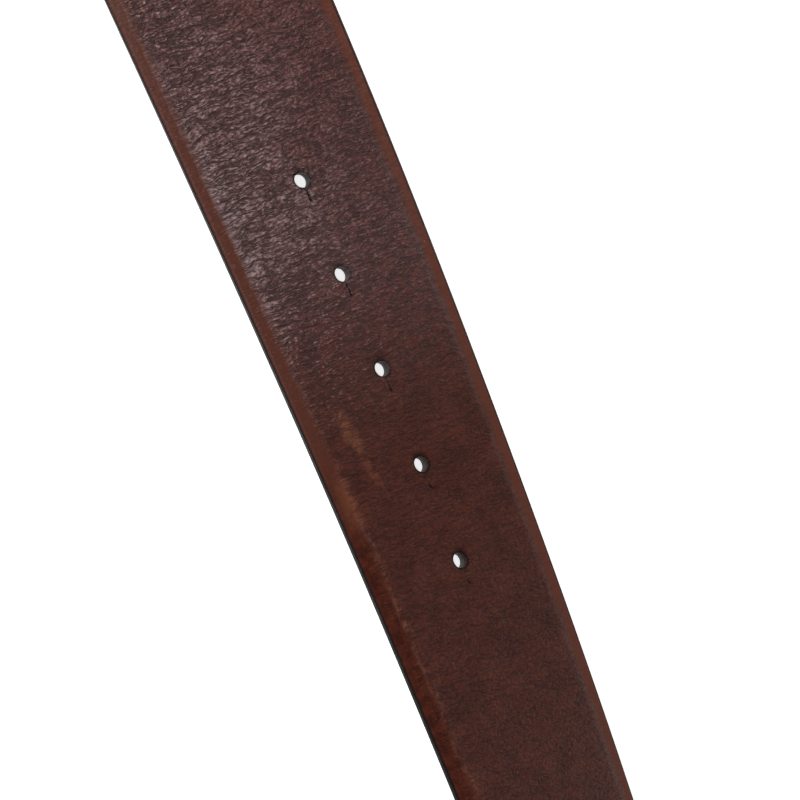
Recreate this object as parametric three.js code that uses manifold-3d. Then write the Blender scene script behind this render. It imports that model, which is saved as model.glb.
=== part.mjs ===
// Reversible leather belt with five keyhole stud holes and a ball-stud frame buckle.
// Millimetres, +Z up. The strap stands on its lower edge in a U and its tail twists down to lie flat.

import * as THREE from 'three';
import { mergeVertices } from 'three/addons/utils/BufferGeometryUtils.js';
import Module from 'manifold-3d';

const wasm = await Module();
wasm.setup();

// Strap: two leathers bonded over a narrower core, thinner at the painted edges than at the middle.
const STRAP_WIDTH = 40;
const FACE_THICKNESS = 1.0;
const BACK_THICKNESS = 1.0;
const CORE_THICKNESS = 0.5;
const CORE_WIDTH = 33;
const EDGE_THICKNESS = 1.7;
const BOND_GAP = 0.04;
const CROWN_POWER = 6;
const TIP_LENGTH = 24;
const TIP_BLUNT = 2.5;
const TIP_ANGLES = [17, 32, 48, 64, 78, 90];
const CORE_TIP_STEP = 2;
const CORE_END_GAP = 16;

// Stud holes: a round hole with a short cut on the side away from the tip.
const HOLE_COUNT = 5;
const HOLE_PITCH = 19;
const FIRST_HOLE = 90;
const HOLE_RADIUS = 1.45;
const SLIT_REACH = 4.35;
const SLIT_WIDTH = 0.3;
const HOLE_SIDES = 16;

// Lie of the strap, along its length from the tip.
const TAIL_LENGTH = 430;
const TAIL_BOW_RADIUS = 2560;
const TURN_RADIUS = 72;
const LEG_LENGTH = 375;
const FLEX_POINT = 262;
const FLEX_GAP = 0.3;
const RISE_START = 60;
const RISE_LENGTH = 130;
const TWIST = [
  { at: 0, degrees: 5 },
  { at: 130, degrees: 29.4 },
  { at: 240, degrees: 46.8 },
  { at: TAIL_LENGTH, degrees: 90 },
];
const TIP_TWIST_RATE = 0.19;

// Fold round the heel bar, and the tab that comes back behind the strap.
const BAR_RADIUS = 1.75;
const BAR_CLEARANCE = 0.2;
const TAB_GAP = 0.3;
const TAB_ANGLE = THREE.MathUtils.degToRad(8);
const TAB_EASE_RADIUS = 15;
const TAB_END = 16;

// Buckle frame: three sides, the heel bar being the fourth.
const FRAME_SIDE_WIDTH = 4.8;
const FRAME_SIDE_CLEARANCE = 0.8;
const FRAME_FRONT_WIDTH = 7;
const FRAME_WINDOW = 24;
const FRAME_HEEL = 4;
const FRAME_FRONT_DEPTH = 3.0;
const FRAME_BACK_DEPTH = 2.4;
const FRAME_BEVEL = 0.5;
const FRAME_CORNER_RADIUS = 7;
const FRAME_INNER_RADIUS = 2.5;
const FIT_GAP = 0.05;
const SWIVEL_END_GAP = 0.6;

// Ball stud on the back of the front bar.
const STUD_BALL_RADIUS = 2.3;
const STUD_NECK_RADIUS = 1.2;
const STUD_NECK_SPARE = 0.7;
const STUD_FLANGE_RADIUS = 2.6;
const STUD_FLANGE_THICKNESS = 0.7;
const STUD_SHANK_RADIUS = 1.1;
const STUD_SHANK_LENGTH = 2.6;

// Two-part screws that close the fold.
const SCREW_SPACING = 18;
const SCREW_FROM_TAB_END = 9;
const SCREW_POST_RADIUS = 2.4;
const SCREW_BORE_RADIUS = 1.6;
const SCREW_HEAD_RADIUS = 4.2;
const SCREW_HEAD_THICKNESS = 1.1;
const SCREW_SLOT_WIDTH = 0.9;
const SCREW_SLOT_DEPTH = 0.5;

// Keepers.
const KEEPER_THICKNESS = 1.3;
const KEEPER_SIDE_GAP = 0.5;
const KEEPER_FACE_GAP = 0.2;
const KEEPER_CORNER_RADIUS = 1.2;
const KEEPER_TAIL_SPARE = 0.7;
const KEEPER_JOINT_GAP = 0.3;
const FIXED_KEEPER_WIDTH = 9;
const FIXED_KEEPER_FROM_HEEL = 2.5;
const SLIDING_KEEPER_WIDTH = 12;
const SLIDING_KEEPER_FROM_TAB = 9;
const STAPLE_CROWN = 7;
const STAPLE_WIRE = 0.6;
const STAPLE_WIDTH = 1.0;

const TAU = Math.PI * 2;
const EMBED = 0.5;
const HOLE_CUTTER_REACH = 2.5;
const EPSILON = 1e-6;

const halfWidth = STRAP_WIDTH / 2;
const halfCore = CORE_THICKNESS / 2;
const faceTop = halfCore + FACE_THICKNESS;
const backTop = halfCore + BACK_THICKNESS;
const strapThickness = faceTop + backTop;
const frameHalfHeight = halfWidth + FRAME_SIDE_CLEARANCE + FRAME_SIDE_WIDTH;
const wrapInner = BAR_RADIUS + BAR_CLEARANCE;
const wrapMiddle = wrapInner + backTop;
const tabDrop = wrapInner * (1 + Math.cos(TAB_ANGLE)) - TAB_GAP;
const easeDrop = TAB_EASE_RADIUS * (1 - Math.cos(TAB_ANGLE));
const tabSlope = (tabDrop - easeDrop) / Math.sin(TAB_ANGLE);
const tabParallelStart =
  tabSlope * Math.cos(TAB_ANGLE) + (TAB_EASE_RADIUS - wrapInner) * Math.sin(TAB_ANGLE);
const tabEnd = tabParallelStart + TAB_END;

// The strap's plan, as stretches of constant turn: positive turns to the right of the way it runs.
const PLAN = [
  { length: TAIL_LENGTH, turn: TAIL_LENGTH / TAIL_BOW_RADIUS, steps: 28 },
  { length: TURN_RADIUS * Math.PI, turn: Math.PI, steps: 18 },
  { length: LEG_LENGTH, turn: 0, steps: 14 },
  { length: wrapMiddle * (Math.PI + TAB_ANGLE), turn: Math.PI + TAB_ANGLE, steps: 9 },
  { length: tabSlope, turn: 0, steps: 1 },
  { length: (TAB_EASE_RADIUS - backTop) * TAB_ANGLE, turn: -TAB_ANGLE, steps: 2 },
  { length: TAB_END, turn: 0, steps: 1 },
];
const barStation = PLAN[0].length + PLAN[1].length + PLAN[2].length;
const strapEnd = PLAN.reduce((sum, stretch) => sum + stretch.length, 0);
const tailHeading = PLAN[0].turn;

const COLOURS = {
  brown: { color: 0x4a2622, roughness: 0.42, metalness: 0 },
  black: { color: 0x151312, roughness: 0.5, metalness: 0 },
  core: { color: 0x8a6a4a, roughness: 0.9, metalness: 0 },
  steel: { color: 0xb9b6b0, roughness: 0.28, metalness: 1 },
};

const part = new THREE.Group();

function addNode(name, geometry, finish) {
  const mesh = new THREE.Mesh(geometry, new THREE.MeshStandardMaterial(COLOURS[finish]));
  mesh.name = name;
  part.add(mesh);
  return mesh;
}

// ---- geometry helpers ----

function cleaned(geometry) {
  const bare = geometry.clone();
  bare.deleteAttribute('normal');
  bare.deleteAttribute('uv');
  return mergeVertices(bare, 1e-4);
}

function toSolid(geometry) {
  const bare = cleaned(geometry);
  const vertProperties = new Float32Array(bare.attributes.position.array);
  const triVerts = new Uint32Array(bare.index.array);
  return new wasm.Manifold(new wasm.Mesh({ numProp: 3, vertProperties, triVerts }));
}

function toGeometry(solid) {
  const mesh = solid.getMesh();
  const geometry = new THREE.BufferGeometry();
  geometry.setAttribute('position', new THREE.BufferAttribute(new Float32Array(mesh.vertProperties), 3));
  geometry.setIndex(new THREE.BufferAttribute(new Uint32Array(mesh.triVerts), 1));
  geometry.computeVertexNormals();
  return geometry;
}

function cut(geometry, cutters) {
  const start = toSolid(geometry);
  return toGeometry(cutters.reduce((solid, cutter) => solid.subtract(toSolid(cutter)), start));
}

function join(first, second) {
  return toGeometry(toSolid(first).add(toSolid(second)));
}

function placed(geometry, matrix) {
  const copy = geometry.clone();
  copy.applyMatrix4(matrix);
  return copy;
}

function moved(geometry, x, y, z) {
  return geometry.clone().translate(x, y, z);
}

function roundedRectangle(target, left, right, bottom, top, radius) {
  target.moveTo(left + radius, bottom);
  target.lineTo(right - radius, bottom);
  target.absarc(right - radius, bottom + radius, radius, -TAU / 4, 0);
  target.lineTo(right, top - radius);
  target.absarc(right - radius, top - radius, radius, 0, TAU / 4);
  target.lineTo(left + radius, top);
  target.absarc(left + radius, top - radius, radius, TAU / 4, TAU / 2);
  target.lineTo(left, bottom + radius);
  target.absarc(left + radius, bottom + radius, radius, TAU / 2, (3 * TAU) / 4);
  return target;
}

// ---- the strap's lie ----

function planAt(station) {
  let x = 0;
  let y = 0;
  let heading = tailHeading;
  let left = station;
  for (const stretch of PLAN) {
    const run = Math.min(left, stretch.length);
    const turned = (stretch.turn * run) / stretch.length;
    const chord = Math.abs(turned) < EPSILON ? run : (2 * run * Math.sin(turned / 2)) / turned;
    x += chord * Math.cos(heading - turned / 2);
    y += chord * Math.sin(heading - turned / 2);
    heading -= turned;
    left -= run;
    if (left <= 0) break;
  }
  return { x, y, heading };
}

function twistAt(station) {
  const last = TWIST.length - 1;
  if (station >= TWIST[last].at) return THREE.MathUtils.degToRad(TWIST[last].degrees);
  const slopeAt = (i) => {
    if (i === 0) return TIP_TWIST_RATE;
    if (i === last) return 0;
    return (TWIST[i + 1].degrees - TWIST[i - 1].degrees) / (TWIST[i + 1].at - TWIST[i - 1].at);
  };
  const i = TWIST.findIndex((stop, k) => k < last && station < TWIST[k + 1].at);
  const span = TWIST[i + 1].at - TWIST[i].at;
  const t = (station - TWIST[i].at) / span;
  const degrees =
    (1 + 2 * t) * (1 - t) ** 2 * TWIST[i].degrees +
    t * (1 - t) ** 2 * span * slopeAt(i) +
    t * t * (3 - 2 * t) * TWIST[i + 1].degrees +
    t * t * (t - 1) * span * slopeAt(i + 1);
  return THREE.MathUtils.degToRad(degrees);
}

// Outer surface of one leather, from the middle of the strap's thickness.
function crown(across, top) {
  const edge = EDGE_THICKNESS / 2;
  return edge + (top - edge) * (1 - Math.abs(across / halfWidth) ** CROWN_POWER);
}

const ACROSS = [-1, -0.86, -0.6, 0, 0.6, 0.86, 1].map((share) => share * halfWidth);

function restingHeight(twist) {
  const reaches = ACROSS.map((u) => Math.abs(u) * Math.sin(twist) + crown(u, backTop) * Math.cos(twist));
  return Math.max(...reaches);
}

function lieAt(station) {
  const { x, y, heading } = planAt(station);
  const twist = twistAt(station);
  const legRun = station - PLAN[0].length - PLAN[1].length;
  const rise = THREE.MathUtils.smoothstep(legRun, RISE_START, RISE_START + RISE_LENGTH);
  const height = restingHeight(twist) + rise * (frameHalfHeight - halfWidth);
  const left = new THREE.Vector3(-Math.sin(heading), Math.cos(heading), 0);
  const up = new THREE.Vector3(0, 0, 1);
  return {
    origin: new THREE.Vector3(x, y, height),
    along: new THREE.Vector3(Math.cos(heading), Math.sin(heading), 0),
    across: left.clone().multiplyScalar(-Math.cos(twist)).addScaledVector(up, Math.sin(twist)),
    normal: left.clone().multiplyScalar(Math.sin(twist)).addScaledVector(up, Math.cos(twist)),
  };
}

function tipShare(station) {
  if (station >= TIP_LENGTH) return 1;
  const round = Math.sqrt(1 - (1 - station / TIP_LENGTH) ** 2);
  const blunt = TIP_BLUNT / halfWidth;
  return blunt + (1 - blunt) * round;
}

const tipStations = TIP_ANGLES.map((angle) => TIP_LENGTH * (1 - Math.cos(THREE.MathUtils.degToRad(angle))));

// Every layer takes its stations from one list, so that the layers' facets stay parallel.
function stationsBetween(from, to) {
  const all = [...tipStations];
  let start = 0;
  for (const stretch of PLAN) {
    for (let i = 0; i < stretch.steps; i += 1) {
      const station = start + (stretch.length * i) / stretch.steps;
      if (station > TIP_LENGTH + 1) all.push(station);
    }
    start += stretch.length;
  }
  return [from, ...all.filter((station) => station > from + 1 && station < to - 1), to];
}

function sweep(from, to, section) {
  const stations = stationsBetween(from, to);
  const positions = [];
  const index = [];
  const count = section.length;
  for (const station of stations) {
    const lie = lieAt(station);
    const share = tipShare(station);
    for (const [u, v] of section) {
      const point = lie.origin.clone();
      point.addScaledVector(lie.across, u * share).addScaledVector(lie.normal, v);
      positions.push(point.x, point.y, point.z);
    }
  }
  for (let i = 0; i < stations.length - 1; i += 1) {
    for (let j = 0; j < count; j += 1) {
      const next = (j + 1) % count;
      const a = i * count + j;
      const b = i * count + next;
      if (section[next][0] > section[j][0]) index.push(a, a + count, b, b, a + count, b + count);
      else index.push(a, b + count, b, a, a + count, b + count);
    }
  }
  const outline = section.map(([u, v]) => new THREE.Vector2(u, v));
  const lastRing = (stations.length - 1) * count;
  for (const [a, b, c] of THREE.ShapeUtils.triangulateShape(outline, [])) {
    index.push(a, b, c, a + lastRing, c + lastRing, b + lastRing);
  }
  const geometry = new THREE.BufferGeometry();
  geometry.setAttribute('position', new THREE.Float32BufferAttribute(positions, 3));
  geometry.setIndex(index);
  geometry.computeVertexNormals();
  return geometry;
}

// Cross-sections run anticlockwise with the across axis to the right and the normal up.
function leatherSection(top, side) {
  const coreEdge = CORE_WIDTH / 2 + FIT_GAP;
  const inner = [
    [-halfWidth, BOND_GAP / 2],
    [-coreEdge - CORE_THICKNESS, BOND_GAP / 2],
    [-coreEdge, halfCore + BOND_GAP],
    [coreEdge, halfCore + BOND_GAP],
    [coreEdge + CORE_THICKNESS, BOND_GAP / 2],
    [halfWidth, BOND_GAP / 2],
  ];
  const outer = [...ACROSS].reverse().map((u) => [u, crown(u, top)]);
  const loop = [...inner, ...outer];
  return side > 0 ? loop : loop.map(([u, v]) => [u, -v]).reverse();
}

function coreSection() {
  const half = CORE_WIDTH / 2;
  return [[-half, -halfCore], [half, -halfCore], [half, halfCore], [-half, halfCore]];
}

// A round hole and its cut, through the whole thickness at one station.
function holeCutters() {
  const cutters = [];
  const depth = strapThickness + 2 * HOLE_CUTTER_REACH;
  for (let i = 0; i < HOLE_COUNT; i += 1) {
    const lie = lieAt(FIRST_HOLE + i * HOLE_PITCH);
    const basis = new THREE.Matrix4().makeBasis(lie.along, lie.normal, lie.across);
    basis.setPosition(lie.origin);
    const round = new THREE.CylinderGeometry(HOLE_RADIUS, HOLE_RADIUS, depth, HOLE_SIDES);
    const slitLength = SLIT_REACH - HOLE_RADIUS / 2;
    const slit = new THREE.BoxGeometry(slitLength, depth, SLIT_WIDTH);
    slit.translate(SLIT_REACH - slitLength / 2, 0, 0);
    cutters.push(placed(join(round, slit), basis));
  }
  return cutters;
}

// ---- the buckle end: x towards the buckle, y up, z towards the back; origin on the heel bar ----

const barLie = lieAt(barStation);
const barCentre = barLie.origin.clone().addScaledVector(barLie.normal, -wrapMiddle);
const buckleEnd = new THREE.Matrix4().makeBasis(
  barLie.along,
  new THREE.Vector3(0, 0, 1),
  barLie.normal.clone().negate(),
);
buckleEnd.setPosition(barCentre);
const strapBack = -wrapInner;
const strapFront = strapBack - strapThickness;

function rod(radius, from, to, sides, axis) {
  const geometry = new THREE.CylinderGeometry(radius, radius, to - from, sides);
  geometry.translate(0, (from + to) / 2, 0);
  if (axis === 'z') geometry.rotateX(TAU / 4);
  return geometry;
}

function buckleFrame() {
  const front = FRAME_WINDOW + FRAME_FRONT_WIDTH;
  const inner = halfWidth + FRAME_SIDE_CLEARANCE;
  const grow = FRAME_BEVEL;
  const studAlong = FRAME_WINDOW + FRAME_FRONT_WIDTH / 2;
  const shape = new THREE.Shape();
  const x0 = -FRAME_HEEL + grow;
  const x1 = front - grow;
  const y1 = frameHalfHeight - grow;
  const y0 = inner + grow;
  const outerRadius = FRAME_CORNER_RADIUS - grow;
  const innerRadius = FRAME_INNER_RADIUS + grow;
  const heelRadius = (y1 - y0) / 2;
  const windowEnd = FRAME_WINDOW + grow;
  shape.moveTo(x0 + heelRadius, -y1);
  shape.lineTo(x1 - outerRadius, -y1);
  shape.absarc(x1 - outerRadius, -y1 + outerRadius, outerRadius, -TAU / 4, 0);
  shape.lineTo(x1, y1 - outerRadius);
  shape.absarc(x1 - outerRadius, y1 - outerRadius, outerRadius, 0, TAU / 4);
  shape.lineTo(x0 + heelRadius, y1);
  shape.absarc(x0 + heelRadius, y1 - heelRadius, heelRadius, TAU / 4, (3 * TAU) / 4);
  shape.lineTo(windowEnd - innerRadius, y0);
  shape.absarc(windowEnd - innerRadius, y0 - innerRadius, innerRadius, TAU / 4, 0, true);
  shape.lineTo(windowEnd, -y0 + innerRadius);
  shape.absarc(windowEnd - innerRadius, -y0 + innerRadius, innerRadius, 0, -TAU / 4, true);
  shape.lineTo(x0 + heelRadius, -y0);
  shape.absarc(x0 + heelRadius, -y0 - heelRadius, heelRadius, TAU / 4, (3 * TAU) / 4);
  const depth = FRAME_FRONT_DEPTH + FRAME_BACK_DEPTH;
  const plate = new THREE.ExtrudeGeometry(shape, {
    depth: depth - 2 * grow,
    bevelThickness: grow,
    bevelSize: grow,
    bevelSegments: 2,
    curveSegments: 6,
  });
  plate.translate(0, 0, -FRAME_FRONT_DEPTH + grow);
  const span = frameHalfHeight + EMBED;
  const barHole = rod(BAR_RADIUS + FIT_GAP, -span, span, HOLE_SIDES);
  const studHole = rod(STUD_SHANK_RADIUS + FIT_GAP, 0, depth, HOLE_SIDES, 'z');
  const holeStart = FRAME_BACK_DEPTH - STUD_SHANK_LENGTH - FIT_GAP;
  return cut(plate, [barHole, moved(studHole, studAlong, 0, holeStart)]);
}

function heelBar() {
  const half = frameHalfHeight - SWIVEL_END_GAP;
  return rod(BAR_RADIUS, -half, half, HOLE_SIDES);
}

function ballStud() {
  const neckLength = strapThickness + STUD_NECK_SPARE;
  const neckTop = STUD_FLANGE_THICKNESS + neckLength;
  const rise = Math.sqrt(STUD_BALL_RADIUS ** 2 - STUD_NECK_RADIUS ** 2);
  const profile = [
    new THREE.Vector2(0, -STUD_SHANK_LENGTH),
    new THREE.Vector2(STUD_SHANK_RADIUS, -STUD_SHANK_LENGTH),
    new THREE.Vector2(STUD_SHANK_RADIUS, 0),
    new THREE.Vector2(STUD_FLANGE_RADIUS, 0),
    new THREE.Vector2(STUD_FLANGE_RADIUS, STUD_FLANGE_THICKNESS),
    new THREE.Vector2(STUD_NECK_RADIUS, STUD_FLANGE_THICKNESS),
  ];
  const start = Math.atan2(-rise, STUD_NECK_RADIUS);
  const ballSteps = 7;
  for (let i = 0; i <= ballSteps; i += 1) {
    const angle = start + ((TAU / 4 - start) * i) / ballSteps;
    const radius = i === ballSteps ? 0 : STUD_BALL_RADIUS * Math.cos(angle);
    profile.push(new THREE.Vector2(radius, neckTop + rise + STUD_BALL_RADIUS * Math.sin(angle)));
  }
  const geometry = new THREE.LatheGeometry(profile, HOLE_SIDES);
  geometry.rotateX(TAU / 4);
  const seat = FRAME_BACK_DEPTH + FIT_GAP;
  return geometry.translate(FRAME_WINDOW + FRAME_FRONT_WIDTH / 2, 0, seat);
}

// ---- screws through the strap and its tab ----

const screwAlong = -(tabEnd - SCREW_FROM_TAB_END);
const screwFront = strapFront;
const screwBack = strapBack + TAB_GAP + strapThickness;
const screwHeights = [SCREW_SPACING / 2, -SCREW_SPACING / 2];

function screwPost() {
  const grip = screwBack - screwFront;
  const profile = [
    [0, -SCREW_HEAD_THICKNESS],
    [SCREW_HEAD_RADIUS - FRAME_BEVEL, -SCREW_HEAD_THICKNESS],
    [SCREW_HEAD_RADIUS, -SCREW_HEAD_THICKNESS + FRAME_BEVEL],
    [SCREW_HEAD_RADIUS, -FIT_GAP],
    [SCREW_POST_RADIUS, -FIT_GAP],
    [SCREW_POST_RADIUS, grip - FIT_GAP],
    [SCREW_BORE_RADIUS, grip - FIT_GAP],
    [SCREW_BORE_RADIUS, FIT_GAP],
    [0, FIT_GAP],
  ].map(([r, z]) => new THREE.Vector2(r, z));
  return new THREE.LatheGeometry(profile, HOLE_SIDES).rotateX(TAU / 4).translate(0, 0, screwFront);
}

function screwMale() {
  const shank = screwBack - screwFront - 2 * EMBED;
  const shankRadius = SCREW_BORE_RADIUS - FIT_GAP;
  const profile = [
    [0, -shank],
    [shankRadius, -shank],
    [shankRadius, FIT_GAP],
    [SCREW_HEAD_RADIUS, FIT_GAP],
    [SCREW_HEAD_RADIUS, SCREW_HEAD_THICKNESS - FRAME_BEVEL],
    [SCREW_HEAD_RADIUS - FRAME_BEVEL, SCREW_HEAD_THICKNESS],
    [0, SCREW_HEAD_THICKNESS],
  ].map(([r, z]) => new THREE.Vector2(r, z));
  const body = new THREE.LatheGeometry(profile, HOLE_SIDES).rotateX(TAU / 4);
  const slotLength = 2 * (SCREW_HEAD_RADIUS + EMBED);
  const slot = new THREE.BoxGeometry(slotLength, SCREW_SLOT_WIDTH, 2 * SCREW_SLOT_DEPTH);
  return cut(body, [moved(slot, 0, 0, SCREW_HEAD_THICKNESS)]).translate(0, 0, screwBack);
}

function screwHoles() {
  return screwHeights.map((height) => {
    const hole = rod(SCREW_POST_RADIUS + FIT_GAP, strapFront - EMBED, screwBack + EMBED, HOLE_SIDES, 'z');
    return placed(moved(hole, screwAlong, height, 0), buckleEnd);
  });
}

// ---- keepers: bands bent round the strap, their ends meeting under a staple ----

function keeperBand(front, back, width) {
  const wall = KEEPER_THICKNESS;
  const reach = halfWidth + KEEPER_SIDE_GAP;
  const shape = new THREE.Shape();
  const outer = reach + wall;
  roundedRectangle(shape, front - wall, back + wall, -outer, outer, KEEPER_CORNER_RADIUS + wall);
  const opening = new THREE.Path();
  roundedRectangle(opening, front, back, -reach, reach, KEEPER_CORNER_RADIUS);
  shape.holes.push(opening);
  const band = new THREE.ExtrudeGeometry(shape, { depth: width, bevelEnabled: false, curveSegments: 4 });
  return band.rotateY(-TAU / 4);
}

// Centred on the band's thickness: the crown lies on its back side and the legs pass through it.
function stapleShape() {
  const wall = KEEPER_THICKNESS + 2 * STAPLE_WIRE;
  const crown = new THREE.BoxGeometry(STAPLE_WIDTH, STAPLE_CROWN, STAPLE_WIRE);
  crown.translate(0, 0, wall / 2 - STAPLE_WIRE / 2 + FIT_GAP);
  const legLength = KEEPER_THICKNESS + STAPLE_WIRE;
  const legs = [1, -1].map((side) => {
    const leg = new THREE.BoxGeometry(STAPLE_WIDTH, STAPLE_WIRE, legLength);
    return leg.translate(0, (side * (STAPLE_CROWN - STAPLE_WIRE)) / 2, wall / 2 - legLength / 2);
  });
  return legs.reduce(join, crown);
}

function keeper(bandName, front, back, width, along, jointMiddle) {
  const legClearance = 2 * FIT_GAP;
  const slots = [1, -1].map((side) => {
    const slot = new THREE.BoxGeometry(
      STAPLE_WIDTH + legClearance,
      STAPLE_WIRE + legClearance,
      KEEPER_THICKNESS + 2 * EMBED,
    );
    return slot.translate(-width / 2, (side * (STAPLE_CROWN - STAPLE_WIRE)) / 2, jointMiddle);
  });
  const joint = new THREE.BoxGeometry(width + 2 * EMBED, KEEPER_JOINT_GAP, KEEPER_THICKNESS + EMBED);
  const band = cut(keeperBand(front, back, width), [...slots, moved(joint, -width / 2, 0, jointMiddle)]);
  const place = buckleEnd.clone().multiply(new THREE.Matrix4().makeTranslation(along, 0, 0));
  addNode(bandName, placed(band, place), 'brown');
  const staple = moved(stapleShape(), -width / 2, 0, jointMiddle);
  addNode(`${bandName}_staple`, placed(staple, place), 'steel');
}

// ---- build ----

const holes = holeCutters();
const screws = screwHoles();
const flexStart = FLEX_POINT - FLEX_GAP / 2;
const flexEnd = FLEX_POINT + FLEX_GAP / 2;
const coreStart = tipStations[CORE_TIP_STEP];
const sheets = [
  { name: 'face_leather', section: leatherSection(faceTop, 1), finish: 'brown' },
  { name: 'core', section: coreSection(), finish: 'core' },
  { name: 'back_leather', section: leatherSection(backTop, -1), finish: 'black' },
];
for (const { name, section, finish } of sheets) {
  const start = name === 'core' ? coreStart : 0;
  const end = name === 'core' ? barStation - CORE_END_GAP : strapEnd;
  addNode(`${name}_tail`, cut(sweep(start, flexStart, section), holes), finish);
  addNode(`${name}_body`, cut(sweep(flexEnd, end, section), screws), finish);
}

addNode('buckle_frame', placed(buckleFrame(), buckleEnd), 'steel');
addNode('heel_bar', placed(heelBar(), buckleEnd), 'steel');
addNode('ball_stud', placed(ballStud(), buckleEnd), 'steel');
screwHeights.forEach((height, i) => {
  addNode(`screw_post_${i + 1}`, placed(moved(screwPost(), screwAlong, height, 0), buckleEnd), 'steel');
  addNode(`screw_${i + 1}`, placed(moved(screwMale(), screwAlong, height, 0), buckleEnd), 'steel');
});

const tailSpace = strapThickness + KEEPER_TAIL_SPARE;
const baseFront = strapBack + KEEPER_FACE_GAP / 2 + KEEPER_THICKNESS;
const tabOuter = wrapInner + strapThickness;
keeper(
  'fixed_keeper',
  baseFront,
  tabOuter + tailSpace,
  FIXED_KEEPER_WIDTH,
  -FRAME_HEEL - FIXED_KEEPER_FROM_HEEL,
  baseFront - KEEPER_THICKNESS / 2,
);
const slidingBack = strapBack + tailSpace;
keeper(
  'sliding_keeper',
  strapFront - KEEPER_FACE_GAP,
  slidingBack,
  SLIDING_KEEPER_WIDTH,
  -tabEnd - SLIDING_KEEPER_FROM_TAB,
  slidingBack + KEEPER_THICKNESS / 2,
);

// The origin is the middle of the object's box, at the level it stands on.
const box = new THREE.Box3().setFromObject(part);
const middle = box.getCenter(new THREE.Vector3());
part.position.set(-middle.x, -middle.y, -box.min.z);

export default part;
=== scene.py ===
"""Leather belt: glazed brown face, black back, keyhole stud holes and a ball-stud frame buckle."""
import math

import bpy
import numpy as np
from mathutils import Matrix, Vector, noise


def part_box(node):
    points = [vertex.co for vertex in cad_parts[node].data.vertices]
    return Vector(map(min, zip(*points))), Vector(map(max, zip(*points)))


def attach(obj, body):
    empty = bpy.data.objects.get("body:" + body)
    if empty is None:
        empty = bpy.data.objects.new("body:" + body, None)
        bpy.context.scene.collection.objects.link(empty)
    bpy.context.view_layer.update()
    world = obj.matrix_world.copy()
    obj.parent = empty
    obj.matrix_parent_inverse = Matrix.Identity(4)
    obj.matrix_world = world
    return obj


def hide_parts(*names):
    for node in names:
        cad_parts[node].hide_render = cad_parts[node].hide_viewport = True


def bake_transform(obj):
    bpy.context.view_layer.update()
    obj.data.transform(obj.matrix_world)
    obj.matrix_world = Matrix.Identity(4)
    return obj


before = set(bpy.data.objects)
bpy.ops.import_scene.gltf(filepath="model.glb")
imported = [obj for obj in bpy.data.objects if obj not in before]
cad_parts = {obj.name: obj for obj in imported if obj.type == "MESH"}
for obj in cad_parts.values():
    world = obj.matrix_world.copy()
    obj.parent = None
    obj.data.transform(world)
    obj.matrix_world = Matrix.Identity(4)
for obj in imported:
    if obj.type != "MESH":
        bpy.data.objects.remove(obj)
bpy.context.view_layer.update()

bl_info = {
    "name": "Ball-stud leather belt",
    "version": (1, 0, 0),
    "blender": (4, 5, 0),
    "location": "View3D > Sidebar > Belt",
    "description": "Builds a leather dress belt on its packed frame",
    "category": "Add Mesh",
}

MM = 0.001
TAU = 2 * math.pi

# ---- the strap's make-up and lie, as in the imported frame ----

WIDTH = 40 * MM
HALF_WIDTH = WIDTH / 2
LEATHER = 1.0 * MM
CORE = 0.5 * MM
CORE_WIDTH = 33 * MM
EDGE_THICKNESS = 1.7 * MM
BOND = 0.04 * MM
CROWN_POWER = 6
TIP_LENGTH = 24 * MM
TIP_BLUNT = 2.5 * MM
THICKNESS = CORE + 2 * LEATHER
TOP = THICKNESS / 2

TAIL_LENGTH = 430 * MM
TAIL_BOW_RADIUS = 2560 * MM
TURN_RADIUS = 72 * MM
LEG_LENGTH = 375 * MM
FLEX_POINT = 262 * MM
FLEX_REACH = 30 * MM
RUN_SPLIT = 305 * MM
RISE_START = 60 * MM
RISE_LENGTH = 130 * MM
TWIST = [(0, 5), (130 * MM, 29.4), (240 * MM, 46.8), (TAIL_LENGTH, 90)]
TIP_TWIST_RATE = 0.19 / MM

BAR_RADIUS = 1.75 * MM
BAR_CLEARANCE = 0.2 * MM
TAB_GAP = 0.3 * MM
TAB_ANGLE = math.radians(8)
TAB_EASE_RADIUS = 15 * MM
TAB_END = 16 * MM
WRAP_INNER = BAR_RADIUS + BAR_CLEARANCE
WRAP_MIDDLE = WRAP_INNER + TOP
TAB_DROP = WRAP_INNER * (1 + math.cos(TAB_ANGLE)) - TAB_GAP
TAB_SLOPE = (TAB_DROP - TAB_EASE_RADIUS * (1 - math.cos(TAB_ANGLE))) / math.sin(TAB_ANGLE)
TAB_PARALLEL = TAB_SLOPE * math.cos(TAB_ANGLE) + (TAB_EASE_RADIUS - WRAP_INNER) * math.sin(TAB_ANGLE)
TAB_TOTAL = TAB_PARALLEL + TAB_END

HOLE_COUNT = 5
HOLE_PITCH = 19 * MM
FIRST_HOLE = 90 * MM

# The strap's plan as (length, turn to the right) stretches.
PLAN = [
    (TAIL_LENGTH, TAIL_LENGTH / TAIL_BOW_RADIUS),
    (TURN_RADIUS * math.pi, math.pi),
    (LEG_LENGTH, 0),
    (WRAP_MIDDLE * (math.pi + TAB_ANGLE), math.pi + TAB_ANGLE),
    (TAB_SLOPE, 0),
    ((TAB_EASE_RADIUS - TOP) * TAB_ANGLE, -TAB_ANGLE),
    (TAB_END, 0),
]
BAR_STATION = sum(length for length, turn in PLAN[:3])
STRAP_END = sum(length for length, turn in PLAN)

BAR_LOW, BAR_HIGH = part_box("heel_bar")
FRAME_LOW, FRAME_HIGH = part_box("buckle_frame")
FRAME_HALF = (FRAME_HIGH.z - FRAME_LOW.z) / 2
BAR_CENTRE = (BAR_LOW + BAR_HIGH) / 2


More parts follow.
